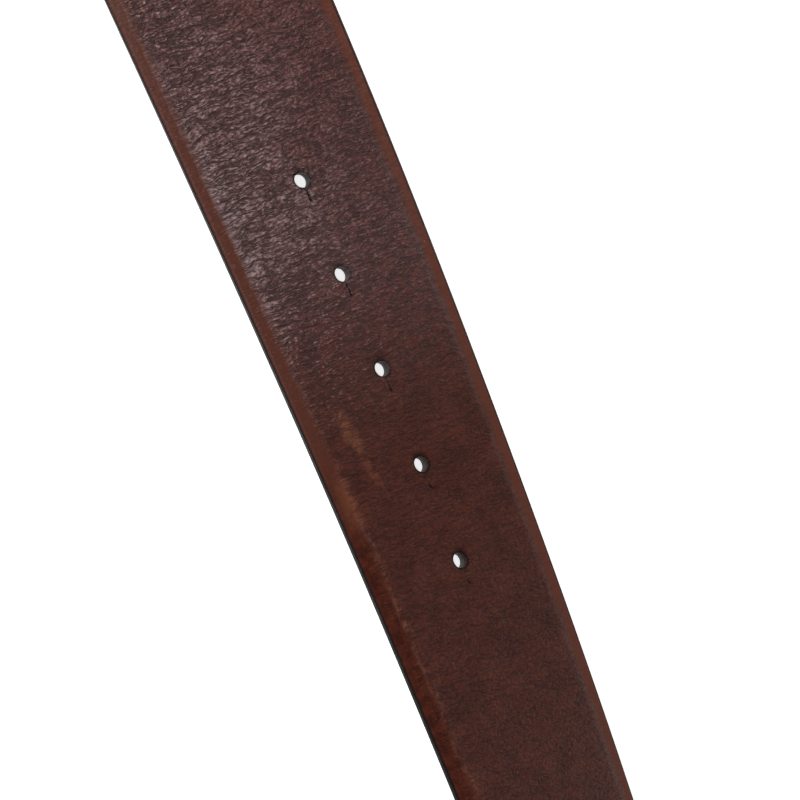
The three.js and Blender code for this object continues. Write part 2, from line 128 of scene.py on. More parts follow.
def plan(station):
    """Plan position and heading at each station along the strap, before it is placed."""
    x = np.zeros_like(station)
    y = np.zeros_like(station)
    heading = np.full_like(station, PLAN[0][1])
    left = station.copy()
    for length, turn in PLAN:
        run = np.clip(left, 0, length)
        turned = turn * run / length
        chord = run * np.sinc(turned / TAU)
        x += chord * np.cos(heading - turned / 2)
        y += chord * np.sin(heading - turned / 2)
        heading = heading - turned
        left = left - run
    return x, y, heading


def twist(station):
    """Angle between the strap's face and the floor plane, in radians."""
    places = np.array([at for at, angle in TWIST])
    angles = np.array([angle for at, angle in TWIST], float)
    slopes = np.zeros(len(TWIST))
    slopes[0] = TIP_TWIST_RATE
    slopes[1:-1] = (angles[2:] - angles[:-2]) / (places[2:] - places[:-2])
    i = np.clip(np.searchsorted(places, station, side="right") - 1, 0, len(TWIST) - 2)
    span = places[i + 1] - places[i]
    t = np.clip((station - places[i]) / span, 0, 1)
    degrees = (1 + 2 * t) * (1 - t) ** 2 * angles[i] + t * (1 - t) ** 2 * span * slopes[i]
    degrees += t * t * (3 - 2 * t) * angles[i + 1] + t * t * (t - 1) * span * slopes[i + 1]
    return np.radians(degrees)


def smooth(value, low, high):
    """Smooth step from 0 at low to 1 at high."""
    t = np.clip((value - low) / (high - low), 0, 1)
    return t * t * (3 - 2 * t)


def bell(value, width):
    """1 at zero, falling to 1/e at the width."""
    return np.exp(-((value / width) ** 2))


def crown(across):
    """Height of a leather's outer surface above the middle of the strap's thickness."""
    edge = EDGE_THICKNESS / 2
    return edge + (TOP - edge) * (1 - np.abs(across / HALF_WIDTH) ** CROWN_POWER)


def lie(station):
    """Origin and the along, across and normal directions at each station, before it is placed."""
    x, y, heading = plan(station)
    angle = twist(station)
    shares = np.array([0, 0.6, 0.86, 1]) * HALF_WIDTH
    reach = shares[:, None] * np.sin(angle) + crown(shares)[:, None] * np.cos(angle)
    leg = station - PLAN[0][0] - PLAN[1][0]
    height = reach.max(0) + smooth(leg, RISE_START, RISE_START + RISE_LENGTH) * (FRAME_HALF - HALF_WIDTH)
    zero = np.zeros_like(x)
    origin = np.stack([x, y, height], 1)
    along = np.stack([np.cos(heading), np.sin(heading), zero], 1)
    left = np.stack([-np.sin(heading), np.cos(heading), zero], 1)
    up = np.array([0, 0, 1.0])
    across = -left * np.cos(angle)[:, None] + up * np.sin(angle)[:, None]
    normal = left * np.sin(angle)[:, None] + up * np.cos(angle)[:, None]
    return origin, along, across, normal


def bar_placement():
    """Where the plan has to be moved so that the fold sits on the heel bar."""
    origin, along, across, normal = lie(np.array([BAR_STATION]))
    centre = Vector(origin[0]) - WRAP_MIDDLE * Vector(normal[0])
    return np.array(BAR_CENTRE - centre)


OFFSET = bar_placement()


def laid(flat):
    """Places points given as (station, across, height) on the strap's lie."""
    origin, along, across, normal = lie(flat[:, 0])
    return OFFSET + origin + across * flat[:, 1:2] + normal * flat[:, 2:3]


def at_station(station, across=0.0, height=0.0):
    return Vector(laid(np.array([[station, across, height]]))[0])


def tip_share(station):
    """Half width at a station as a share of the strap's half width."""
    t = np.clip(station / TIP_LENGTH, 0, 1)
    blunt = TIP_BLUNT / HALF_WIDTH
    return blunt + (1 - blunt) * np.sqrt(1 - (1 - t) ** 2)


# Buckle end: x towards the buckle, y up, z towards the back, from the heel bar's middle.
BUCKLE_END = Matrix.Translation(BAR_CENTRE) @ Matrix(
    ((-1, 0, 0, 0), (0, 0, 1, 0), (0, 1, 0, 0), (0, 0, 0, 1))
)
STRAP_BACK = -WRAP_INNER
STRAP_FRONT = STRAP_BACK - THICKNESS


# ---- settings ----


class BeltSizes(bpy.types.PropertyGroup):
    """Sizes of the details that the looks add."""

    hole_radius: bpy.props.FloatProperty(
        name="Hole radius", description="Radius of a stud hole", default=1.45 * MM, unit="LENGTH"
    )
    slit_reach: bpy.props.FloatProperty(
        name="Cut reach", description="From a hole's centre to its cut's end", default=4.35 * MM,
        unit="LENGTH",
    )
    edge_round: bpy.props.FloatProperty(
        name="Edge round", description="Radius of the strap's painted edges", default=0.45 * MM, unit="LENGTH"
    )
    edge_band: bpy.props.FloatProperty(
        name="Edge band", description="Width of the smooth band along both edges", default=2.7 * MM,
        unit="LENGTH",
    )


class BeltFinish(bpy.types.PropertyGroup):
    """Colours of the belt's materials."""

    face: bpy.props.FloatVectorProperty(
        name="Face leather", description="Main colour of the face", subtype="COLOR", size=3,
        default=(0.055, 0.0150, 0.0100),
    )
    # Painted sheen: a lighter, greyer copy of the face colour for the stretch near the tip.
    face_tip_sheen: bpy.props.FloatVectorProperty(
        name="Face near the tip", description="Colour of the face on its creased stretch", subtype="COLOR",
        size=3, default=(0.064, 0.0180, 0.0150),
    )
    face_band: bpy.props.FloatVectorProperty(
        name="Edge band", description="Colour of the band along the edges", subtype="COLOR", size=3,
        default=(0.100, 0.033, 0.022),
    )
    # Painted sheen: the pale highlight colour laid on the creased stretch near the tip.
    painted_sheen: bpy.props.FloatVectorProperty(
        name="Wax bloom", description="Pale film on the creased stretch near the tip", subtype="COLOR",
        size=3, default=(0.165, 0.112, 0.114),
    )
    back: bpy.props.FloatVectorProperty(
        name="Back leather", description="Colour of the back", subtype="COLOR", size=3,
        default=(0.012, 0.011, 0.011),
    )
    metal: bpy.props.FloatVectorProperty(
        name="Buckle metal", description="Colour of the buckle, bar, stud and screws", subtype="COLOR",
        size=3, default=(0.40, 0.385, 0.365),
    )


class BeltStage(bpy.types.PropertyGroup):
    """Camera, floor and lights."""

    camera_height: bpy.props.FloatProperty(
        name="Camera height", description="Height of the camera above the floor", default=0.45, unit="LENGTH"
    )
    view_width: bpy.props.FloatProperty(
        name="View width", description="Width of floor that the camera takes in", default=0.1513,
        unit="LENGTH",
    )
    key_power: bpy.props.FloatProperty(
        name="Key light", description="Power of the key softbox", default=5.6, unit="POWER"
    )
    top_power: bpy.props.FloatProperty(
        name="Top light", description="Power of the softbox overhead", default=3.0, unit="POWER"
    )
    fill_power: bpy.props.FloatProperty(
        name="Fill light", description="Power of the fill softbox", default=3.0, unit="POWER"
    )


def sizes():
    return bpy.context.scene.belt_sizes


def finish():
    return bpy.context.scene.belt_finish


def stage():
    return bpy.context.scene.belt_stage


# ---- material graphs ----


class Graph:
    """A short way to write one material's nodes."""

    def __init__(self, name):
        self.material = bpy.data.materials.new(name)
        self.material.use_nodes = True
        self.tree = self.material.node_tree
        self.shader = self.tree.nodes["Principled BSDF"]

    def node(self, kind, inputs=(), **settings):
        made = self.tree.nodes.new(kind)
        for key, value in settings.items():
            setattr(made, key, value)
        for socket, value in dict(inputs).items():
            self.feed(made.inputs[socket], value)
        return made

    def feed(self, socket, value):
        if isinstance(value, bpy.types.NodeSocket):
            self.tree.links.new(value, socket)
        elif isinstance(value, (tuple, list)) and socket.type == "RGBA" and len(value) == 3:
            socket.default_value = (*value, 1)
        else:
            socket.default_value = value

    def math(self, operation, first, second=0.0):
        return self.node("ShaderNodeMath", {0: first, 1: second}, operation=operation).outputs[0]

    def times(self, first, second):
        return self.math("MULTIPLY", first, second)

    def plus(self, first, second):
        return self.math("ADD", first, second)

    def minus(self, first, second):
        return self.math("SUBTRACT", first, second)

    def ramp(self, value, low, high, to_low=0.0, to_high=1.0):
        """Smoothly maps low..high to to_low..to_high."""
        made = self.node("ShaderNodeMapRange", interpolation_type="SMOOTHSTEP")
        for socket, given in zip(made.inputs, (value, low, high, to_low, to_high)):
            self.feed(socket, given)
        return made.outputs[0]

    def mix(self, factor, first, second, blend="MIX"):
        made = self.node("ShaderNodeMix", data_type="RGBA", blend_type=blend)
        for index, value in ((0, factor), (6, first), (7, second)):
            self.feed(made.inputs[index], value)
        return made.outputs[2]

    def scaled(self, vector, scale, rotation=(0, 0, 0)):
        made = self.node("ShaderNodeMapping", {"Vector": vector, "Scale": scale, "Rotation": rotation})
        return made.outputs[0]

    def noise(self, vector, scale, detail=2.0, roughness=0.5):
        made = self.node(
            "ShaderNodeTexNoise",
            {"Vector": vector, "Scale": scale, "Detail": detail, "Roughness": roughness},
        )
        return made.outputs["Fac"]

    def cells(self, vector, scale, feature="F1"):
        made = self.node("ShaderNodeTexVoronoi", {"Vector": vector, "Scale": scale}, feature=feature)
        return made.outputs["Distance"]

    def bump(self, height, distance):
        settings = {"Height": height, "Distance": distance, "Strength": 1.0}
        return self.node("ShaderNodeBump", settings).outputs[0]

    def flat_millimetres(self):
        """The piece's flat pattern as a vector in millimetres: across, along."""
        pattern = self.node("ShaderNodeUVMap", uv_map="flat").outputs[0]
        return self.vector_math("MULTIPLY", pattern, (1 / MM, 1 / MM, 0))

    def object_millimetres(self):
        place = self.node("ShaderNodeTexCoord").outputs["Object"]
        return self.vector_math("MULTIPLY", place, (1 / MM, 1 / MM, 1 / MM))

    def vector_math(self, operation, *values):
        return self.node("ShaderNodeVectorMath", enumerate(values), operation=operation).outputs[0]

    def parts(self, vector):
        made = self.node("ShaderNodeSeparateXYZ", {"Vector": vector})
        return made.outputs[0], made.outputs[1], made.outputs[2]

    def surface(self, **sockets):
        for name, value in sockets.items():
            self.feed(self.shader.inputs[name.replace("_", " ")], value)
        return self.material


GRAIN_SLANT = math.radians(4)


class Grain:
    """Pebbles and cross creases of a leather, as heights round 0.6."""

    def __init__(self, graph, flat):
        turn = (0, 0, GRAIN_SLANT)
        wander = graph.node("ShaderNodeTexNoise", {"Vector": flat, "Scale": 0.30, "Detail": 2.0})
        shift = graph.vector_math("MULTIPLY_ADD", wander.outputs["Color"], (1.4, 1.4, 0), (-0.7, -0.7, 0))
        bent = graph.vector_math("ADD", flat, shift)

        def lines(scale, detail, roughness, level, width):
            field = graph.noise(graph.scaled(bent, scale, turn), 1.0, detail, roughness)
            return graph.ramp(graph.math("ABSOLUTE", graph.minus(field, level)), 0.0, width)

        self.fine = graph.noise(graph.scaled(bent, (1.0, 2.3, 1.0), turn), 1.1, 2.0, 0.55)
        pebbles = graph.cells(graph.scaled(bent, (1.0, 1.7, 1.0), turn), 1.5, "SMOOTH_F1")
        folds = lines((0.15, 0.70, 1.0), 3.0, 0.58, 0.5, 0.05)
        self.creases = lines((0.085, 0.50, 1.0), 2.0, 0.55, 0.52, 0.028)
        self.swell = graph.noise(graph.scaled(bent, (0.10, 0.34, 1.0), turn), 1.0, 2.0, 0.5)
        relief = graph.times(self.fine, 0.55)
        relief = graph.plus(relief, graph.times(graph.minus(1.0, pebbles), 0.30))
        self.relief = graph.plus(relief, graph.times(folds, 0.20))


def toned(colour, share):
    return tuple(c * share for c in colour)


RUBBED_SPOTS = [
    ((11.6, 136.5), (2.1, 6.0), 0.18, 0.85),
    ((10.6, 144.5), (1.1, 5.0), 0.20, 0.50),
    ((17.6, 148.5), (2.4, 7.0), 0.0, 0.75),
]


def patch_mask(graph, flat, across, along, centre, reach, slant, ragged):
    """A ragged spot on the flat pattern: 1 in its middle, 0 outside."""
    run = graph.minus(along, centre[1])
    side = graph.plus(graph.minus(across, centre[0]), graph.times(run, slant))

    def squared(value, width):
        return graph.math("POWER", graph.math("ABSOLUTE", graph.math("DIVIDE", value, width)), 2.0)

    far = graph.plus(squared(side, reach[0]), squared(run, reach[1]))
    rough = graph.times(graph.noise(flat, 0.5, 4.0, 0.7), ragged)
    return graph.ramp(graph.plus(far, rough), 0.6, 2.0, 1.0, 0.0)


def face_leather_material():
    """Glazed reddish-brown leather with the strap's own bands, scuffs and edge wrinkles, and painted sheen,
    highlights and shade.
    """
    colours = finish()
    graph = Graph("glazed_brown_leather")
    flat = graph.flat_millimetres()
    across, along, _ = graph.parts(flat)
    from_middle = graph.math("ABSOLUTE", across)
    grain = Grain(graph, flat)
    press = graph.node("ShaderNodeAttribute", attribute_name="press").outputs["Fac"]

    # How strongly the grain is raised: deepest near the first hole, flattened further on and at the edges.
    wander = graph.times(graph.minus(graph.noise(flat, 0.22, 2.0), 0.5), 1.4)
    band_place = graph.plus(from_middle, wander)
    band_edge = HALF_WIDTH / MM - sizes().edge_band / MM
    band = graph.ramp(band_place, band_edge - 1.2, band_edge + 0.9)
    inside = graph.minus(1.0, graph.times(band, 0.86))
    raised = graph.ramp(along, 100.0, 146.0, 1.0, 0.60)
    depth = graph.times(raised, inside)

    base = tuple(colours.face)
    mottle = graph.ramp(graph.noise(flat, 0.13, 4.0, 0.62), 0.3, 0.7)
    colour = graph.mix(mottle, toned(base, 0.86), toned(base, 1.16))
    # Painted sheen: the face is made lighter and greyer near the tip.
    near_tip = graph.ramp(along, 112.0, 140.0, 1.0, 0.0)
    colour = graph.mix(graph.times(near_tip, 0.8), colour, tuple(colours.face_tip_sheen))

    # The smooth band along each edge. The raised side's band is painted darker as shade, since it faces away
    # from the light; away from the tip it turns a dark oxblood, partly the leather's own deep red and partly
    # painted shade.
    far = graph.ramp(along, 136.0, 160.0)
    raised_side = graph.times(graph.ramp(across, 2.0, 6.0), far)
    edge_band_and_shade = graph.times(band, graph.minus(1.0, raised_side))
    # Painted shade: a darker copy of the band colour for the raised side.
    shaded_raised_band = toned(colours.face_band, 0.74)
    band_colour = graph.mix(graph.ramp(across, -2.0, 2.0), tuple(colours.face_band), shaded_raised_band)
    colour = graph.mix(graph.times(edge_band_and_shade, 0.9), colour, band_colour)
    oxblood_shade = graph.times(band, raised_side)
    patches = graph.ramp(graph.noise(flat, 0.55, 3.0, 0.6), 0.35, 0.65)
    oxblood_shade_colour = graph.mix(patches, (0.034, 0.0085, 0.0060), (0.066, 0.0150, 0.0085))
    colour = graph.mix(graph.times(oxblood_shade, 0.92), colour, oxblood_shade_colour)

    # The band's inner half is ticked with short wrinkles and ends in a ridge with a broken painted highlight
    # along it.
    tick_place = graph.scaled(flat, (0.50, 2.8, 1.0), (0, 0, math.radians(14)))
    ticks = graph.ramp(graph.noise(tick_place, 1.0, 3.0, 0.75), 0.50, 0.66)
    inner_half = graph.ramp(from_middle, 19.4, 18.4)
    ticks = graph.times(graph.times(ticks, oxblood_shade), inner_half)
    colour = graph.mix(graph.times(ticks, 0.75), colour, (0.150, 0.040, 0.020))
    ridge_rise = graph.ramp(band_place, band_edge - 2.0, band_edge - 0.9)
    ridge_fall = graph.ramp(band_place, band_edge - 0.5, band_edge + 0.3, 1.0, 0.0)
    ridge_highlight = graph.times(graph.times(ridge_rise, ridge_fall), raised_side)
    broken = graph.ramp(graph.noise(graph.scaled(flat, (0.6, 0.30, 1.0)), 1.0, 3.0, 0.7), 0.42, 0.64)
    ridge_highlight = graph.times(ridge_highlight, broken)
    colour = graph.mix(graph.times(ridge_highlight, 0.85), colour, (0.105, 0.038, 0.023))

    # Painted sheen: a pale greyish highlight on the crests where the strap is creased, strongest beside the
    # raised edge.
    sheen_along = graph.ramp(along, 96.0, 121.0, 1.0, 0.0)
    sheen_along = graph.times(graph.ramp(along, 48.0, 76.0, 0.30, 1.0), sheen_along)
    sheen_across = graph.ramp(across, 17.0, 18.2, 1.0, 0.0)
    sheen_across = graph.times(graph.ramp(across, -15.0, 15.0, 0.10, 1.0), sheen_across)
    sheen_break = graph.ramp(graph.noise(flat, 0.10, 3.0, 0.6), 0.32, 0.62, 0.35, 1.0)
    painted_sheen = graph.times(graph.times(sheen_along, sheen_across), sheen_break)
    lit_crest = graph.ramp(grain.relief, 0.58, 0.76)
    painted_sheen = graph.times(painted_sheen, graph.plus(0.22, graph.times(lit_crest, 0.78)))
    colour = graph.mix(painted_sheen, colour, tuple(colours.painted_sheen))

    # Painted sheen: a paler, broken highlight close beside the raised edge.
    border = patch_mask(graph, flat, across, along, (15.6, 92.0), (2.1, 27.0), 0.0, 1.6)
    border = graph.times(border, graph.ramp(grain.relief, 0.52, 0.74, 0.10, 0.80))
    border = graph.times(border, graph.ramp(grain.swell, 0.40, 0.60, 0.25, 1.0))
    colour = graph.mix(border, colour, (0.190, 0.135, 0.138))

    # Rubbed spots, where the finish is thinner.
    for centre, reach, slant, strength in RUBBED_SPOTS:
        spot = patch_mask(graph, flat, across, along, centre, reach, slant, 1.9)
        colour = graph.mix(graph.times(spot, strength), colour, (0.130, 0.043, 0.023))

    # Painted shade in the grain's valleys, painted highlights on its crests, pale specks, and the dark ring
    # round the holes: burnished leather with painted shadow in the press on the tip side.
    valley_shade = graph.times(graph.ramp(grain.relief, 0.62, 0.46), depth)
    shaded_colour = graph.mix(1.0, colour, (0.42, 0.36, 0.36), "MULTIPLY")
    colour = graph.mix(graph.times(valley_shade, 0.85), colour, shaded_colour)
    highlighted_colour = graph.mix(1.0, colour, (1.75, 1.70, 1.65), "MULTIPLY")
    crest_highlight = graph.times(graph.ramp(grain.relief, 0.60, 0.78), depth)
    colour = graph.mix(graph.times(crest_highlight, 0.75), colour, highlighted_colour)
    # Painted glints on the grain's crests near the tip, weaker towards the lower edge.
    fan = graph.times(graph.times(near_tip, inside), graph.ramp(across, -6.0, 12.0, 0.25, 1.0))
    painted_glint = graph.times(graph.ramp(grain.relief, 0.70, 0.80), fan)
    colour = graph.mix(painted_glint, colour, (0.25, 0.17, 0.155))
    specks = graph.ramp(graph.cells(flat, 0.085), 0.006, 0.018, 0.55, 0.0)
    colour = graph.mix(specks, colour, (0.24, 0.17, 0.15))
    # Darkening round the holes: a burnished ring with painted shadow in the press on the tip side.
    burnish_and_shadow_colour = graph.mix(1.0, colour, (0.22, 0.17, 0.16), "MULTIPLY")
    colour = graph.mix(graph.ramp(press, 0.05, 0.75), colour, burnish_and_shadow_colour)
    # Edge paint laps over the lower edge.
    lip = graph.ramp(across, 0.45 - HALF_WIDTH / MM, 0.60 - HALF_WIDTH / MM, 0.9, 0.0)
    colour = graph.mix(lip, colour, (0.014, 0.006, 0.004))

    # Painted shade in the open creases near the tip; the same creases are sunk in the bump.
    open_crease = graph.times(graph.minus(1.0, grain.creases), fan)
    colour = graph.mix(graph.times(open_crease, 0.75), colour, shaded_colour)
    height = graph.times(grain.relief, graph.times(depth, 4.2))
    height = graph.minus(height, graph.times(open_crease, 0.9))
    height = graph.plus(height, graph.times(grain.swell, graph.times(depth, 2.0)))
    height = graph.plus(height, graph.times(ticks, 0.7))
    normal = graph.bump(height, 0.22 * MM)
    rough = graph.ramp(grain.fine, 0.3, 0.7, 0.36, 0.48)
    gloss = graph.times(graph.ramp(along, 105.0, 150.0, 0.30, 0.09), graph.ramp(band, 0.0, 1.0, 1.0, 0.35))
    return graph.surface(Base_Color=colour, Roughness=rough, Normal=normal, Specular_IOR_Level=gloss)


def plain_leather_material(name, colour, depth, roughness):
    """Grained leather for the back and the keepers."""
    graph = Graph(name)
    flat = graph.flat_millimetres()
    grain = Grain(graph, flat)
    mottle = graph.ramp(graph.noise(flat, 0.12, 3.0, 0.6), 0.3, 0.7)
    shade = graph.mix(mottle, toned(colour, 0.8), toned(colour, 1.25))
    # Painted shade in the grain's valleys and painted highlights on its crests.
    valley_shade = graph.ramp(grain.relief, 0.62, 0.46, 0.0, depth)
    shade = graph.mix(valley_shade, shade, graph.mix(1.0, shade, (0.45, 0.42, 0.42), "MULTIPLY"))
    lit_crest = graph.ramp(grain.relief, 0.60, 0.78, 0.0, depth)
    shade = graph.mix(lit_crest, shade, graph.mix(1.0, shade, (1.8, 1.8, 1.8), "MULTIPLY"))
    rough = graph.ramp(grain.fine, 0.3, 0.7, roughness - 0.06, roughness + 0.08)
    normal = graph.bump(graph.times(grain.relief, depth), 0.20 * MM)
    return graph.surface(Base_Color=shade, Roughness=rough, Normal=normal, Specular_IOR_Level=0.28)


def cut_leather_material(name, colour):
    """The fibrous cut face inside the holes and at raw ends."""
    graph = Graph(name)
    place = graph.object_millimetres()
    fibres = graph.noise(place, 3.0, 4.0, 0.7)
    shade = graph.mix(fibres, toned(colour, 0.7), toned(colour, 1.4))
    normal = graph.bump(fibres, 0.12 * MM)
    return graph.surface(Base_Color=shade, Roughness=0.85, Normal=normal, Specular_IOR_Level=0.08)


def edge_paint_material():
    """Thick, nearly matt edge paint with slight waves and dust."""
    graph = Graph("black_edge_paint")
    place = graph.object_millimetres()
    waves = graph.noise(place, 0.35, 3.0, 0.55)
    dust = graph.ramp(graph.noise(place, 2.2, 3.0, 0.6), 0.5, 0.8)
    shade = graph.mix(dust, (0.0065, 0.0040, 0.0032), (0.016, 0.010, 0.008))
    normal = graph.bump(waves, 0.25 * MM)
    rough = graph.ramp(dust, 0.0, 1.0, 0.42, 0.58)
    return graph.surface(Base_Color=shade, Roughness=rough, Normal=normal, Specular_IOR_Level=0.10)


def metal_material(name, brushed):
    """Buckle metal: long fine scratches when brushed, faint swirls when turned."""
    graph = Graph(name)
    place = graph.object_millimetres()
    stretch = (7.0, 7.0, 0.12) if brushed else (1.5, 1.5, 1.5)
    scratches = graph.noise(graph.scaled(place, stretch), 1.0, 4.0, 0.75)
    smudges = graph.ramp(graph.noise(place, 0.12, 3.0, 0.6), 0.4, 0.7)
    tint = tuple(finish().metal)
    shade = graph.mix(smudges, tint, toned(tint, 0.88))
    rough = graph.ramp(scratches, 0.3, 0.7, 0.20, 0.36 if brushed else 0.26)
    rough = graph.plus(rough, graph.times(smudges, 0.04))
    normal = graph.bump(scratches, (0.020 if brushed else 0.006) * MM)
    return graph.surface(Base_Color=shade, Metallic=1.0, Roughness=rough, Normal=normal)


MATERIALS = {}


def material(name):
    """Each material is made once, when it is first used."""
    makers = {
        "face": face_leather_material,
        "back": lambda: plain_leather_material("black_grained_leather", tuple(finish().back), 0.6, 0.44),
        "keeper": lambda: plain_leather_material("keeper_brown_leather", tuple(finish().face), 0.45, 0.38),
        "cut_brown": lambda: cut_leather_material("cut_face_leather", (0.018, 0.009, 0.007)),
        "cut_black": lambda: cut_leather_material("cut_back_leather", (0.035, 0.028, 0.025)),
        "core": lambda: cut_leather_material("bonded_core_board", (0.060, 0.045, 0.037)),
        "paint": edge_paint_material,
        "brushed": lambda: metal_material("brushed_buckle_metal", True),
        "turned": lambda: metal_material("turned_screw_metal", False),
    }
    if name not in MATERIALS:
        MATERIALS[name] = makers[name]()
    return MATERIALS[name]


# ---- mesh helpers ----


def linked(name, data):
    made = bpy.data.objects.new(name, data)
    bpy.context.scene.collection.objects.link(made)
    return made


def deselect_all():
    if bpy.context.mode != "OBJECT":
        bpy.ops.object.mode_set(mode="OBJECT")
    bpy.ops.object.select_all(action="DESELECT")


def activate(piece):
    deselect_all()
    piece.select_set(True)
    bpy.context.view_layer.objects.active = piece


def apply_modifier(piece, kind, **settings):
    activate(piece)
    modifier = piece.modifiers.new(kind.lower(), kind)
    for key, value in settings.items():
        setattr(modifier, key, value)
    bpy.ops.object.modifier_apply(modifier=modifier.name)


def new_piece(name, vertices, faces):
    mesh = bpy.data.meshes.new(name)
    mesh.from_pydata([tuple(v) for v in vertices], [], faces)
    mesh.update()
    return linked(name, mesh)


def bar_faces(stops, count):
    """Faces of a closed bar whose section has count points at each of its stops."""
    faces = []
    for k in range(stops - 1):
        for j in range(count):
            n = (j + 1) % count
            faces.append([k * count + j, k * count + n, (k + 1) * count + n, (k + 1) * count + j])
    last = (stops - 1) * count
    return faces + [list(range(count))[::-1], [last + j for j in range(count)]]


def path_step(points, k):
    """Unit direction of a path of points at its k-th point."""
    step = points[min(k + 1, len(points) - 1)] - points[max(k - 1, 0)]
    return step / np.linalg.norm(step)


def outward(piece):
    activate(piece)
    bpy.ops.object.mode_set(mode="EDIT")
    bpy.ops.mesh.select_all(action="SELECT")
    bpy.ops.mesh.remove_doubles(threshold=0.001 * MM)
    bpy.ops.mesh.normals_make_consistent(inside=False)
    bpy.ops.object.mode_set(mode="OBJECT")
    return piece


def shade(piece, angle=35):
    activate(piece)
    bpy.ops.object.shade_smooth_by_angle(angle=math.radians(angle))
    return piece


def bevel(piece, width, segments):
    angle = math.radians(50)
    apply_modifier(piece, "BEVEL", width=width, segments=segments, limit_method="ANGLE", angle_limit=angle)


def cut_away(piece, cutter):
    apply_modifier(piece, "BOOLEAN", operation="DIFFERENCE", solver="EXACT", object=cutter)
    bpy.data.objects.remove(cutter)


def dress(piece, body, slot, *names):
    """Gives a piece its materials and the body that it rides on; the slot is not used."""
    piece.data.materials.clear()
    for name in names:
        piece.data.materials.append(material(name))
    if body:
        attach(piece, body)


def seated(piece):
    """Moves a piece from the buckle end's own axes to the belt's."""
    piece.data.transform(BUCKLE_END)
    piece.data.update()
    return piece


# ---- strap layers: cut flat, punched, embossed, then laid ----

HALF_ACROSS = [k * MM for k in range(1, 17)] + [
    k * MM for k in (16.6, 17.2, 17.7, 18.2, 18.6, 19.0, 19.35, 19.6, 19.8, 19.93, 20.0)
]
PATCH_BACK = 4
PATCH_AHEAD = 8
PATCH_SIDE = 4
RING_SHARES = (0.0, 0.02, 0.05, 0.09, 0.15, 0.24, 0.36, 0.52, 0.74)
LIP_STEPS = 12
OPEN_SLIT = 0.15 * MM
SLIT_SHARES = {0: 0.0, 1: 1.9}  # pointed at its end, with a flared foot just before it
CLOSED_SLIT = 0.02 * MM
SLIT_DARKNESS = (1.0, 0.8, 0.5, 0.3, 0.3)


def slit_half_width(index):
    """Only the hole nearest the tip has a cut that stands open."""
    return OPEN_SLIT if index == 0 else CLOSED_SLIT


def hole_stations():
    return [FIRST_HOLE + i * HOLE_PITCH for i in range(HOLE_COUNT)]


def strap_stations(start, end):
    """Stations close together where the strap is seen close up and where it bends."""
    tip = [TIP_LENGTH * (1 - math.cos(math.radians(a))) for a in range(0, 90, 4)]
    steps = [(24, 300, 1.0), (300, 1031, 3.0), (1031, 1043, 0.6), (1043, 1085, 2.0)]
    runs = [np.arange(low, high, step) * MM for low, high, step in steps]
    every = np.unique(np.round(np.concatenate([tip, *runs]), 7))
    margin = 0.2 * MM
    inside = every[(every > start + margin) & (every < end - margin)]
    return np.concatenate([[start], inside, [end]])


def keyhole(station, slit_half, count):
    """Outline of a hole and its cut, from the cut's end, in flat coordinates."""
    radius = sizes().hole_radius
    junction = math.asin(slit_half / radius)
    neck = radius * math.cos(junction)
    half = []
    for i in range(LIP_STEPS):
        t = i / LIP_STEPS
        reach = sizes().slit_reach + (neck - sizes().slit_reach) * t
        half.append((reach, slit_half * SLIT_SHARES.get(i, 1.0)))
    arc = count // 2 - LIP_STEPS
    for i in range(arc + 1):
        angle = junction + (math.pi - junction) * i / arc
        half.append((radius * math.cos(angle), radius * math.sin(angle)))
    mirrored = [(x, -y) for x, y in reversed(half[1:-1])]
    return [(station + x, y) for x, y in half + mirrored]


def patch_border(columns, rows, station):
    """Grid indices round a hole's patch, anticlockwise from straight ahead of the cut."""
    centre = int(np.argmin(np.abs(columns - station)))
    middle = int(np.argmin(np.abs(rows)))
    back, ahead, side = centre - PATCH_BACK, centre + PATCH_AHEAD, PATCH_SIDE
    border = [(ahead, middle + j) for j in range(0, side)]
    border += [(i, middle + side) for i in range(ahead, back, -1)]
    border += [(back, middle + j) for j in range(side, -side, -1)]
    border += [(i, middle - side) for i in range(back, ahead)]
    border += [(ahead, middle + j) for j in range(-side, 0)]
    cells = {(i, middle + j) for i in range(back, ahead) for j in range(-side, side)}
    return border, cells


def rim_burnish_and_shadow(points):
    """How dark the surface is made round each hole, from 0 to 1: a burnished ring at the rim, painted shadow
    in the press on the tip side, and darkening along the cut and at its end.
    """
    station, across = points[:, 0], points[:, 1]
    dark = np.zeros(len(points))
    radius = sizes().hole_radius
    for index, centre in enumerate(hole_stations()):
        dx = station - centre
        rho = np.hypot(dx, across) + 1e-9
        rim = np.clip(rho - radius, 0, None)
        ring = bell(rim, 0.38 * MM)
        toward_tip = smooth(-dx / rho, -0.2, 1.0)
        # Painted shadow in the press on the hole's tip side.
        dent_shadow = 0.75 * bell(rim, 0.75 * MM) * toward_tip
        on_slit = smooth(dx, 1.0 * MM, 1.6 * MM) * (1 - smooth(dx, 4.3 * MM, 4.7 * MM))
        line = bell(across, 0.30 * MM if index == 0 else 0.13 * MM) * on_slit * SLIT_DARKNESS[index]
        end = np.hypot(dx - sizes().slit_reach, across)
        foot = 0.8 * bell(end, 0.36 * MM)
        dark = np.maximum(dark, np.maximum(np.maximum(ring, dent_shadow), np.maximum(line, foot)))
    return dark


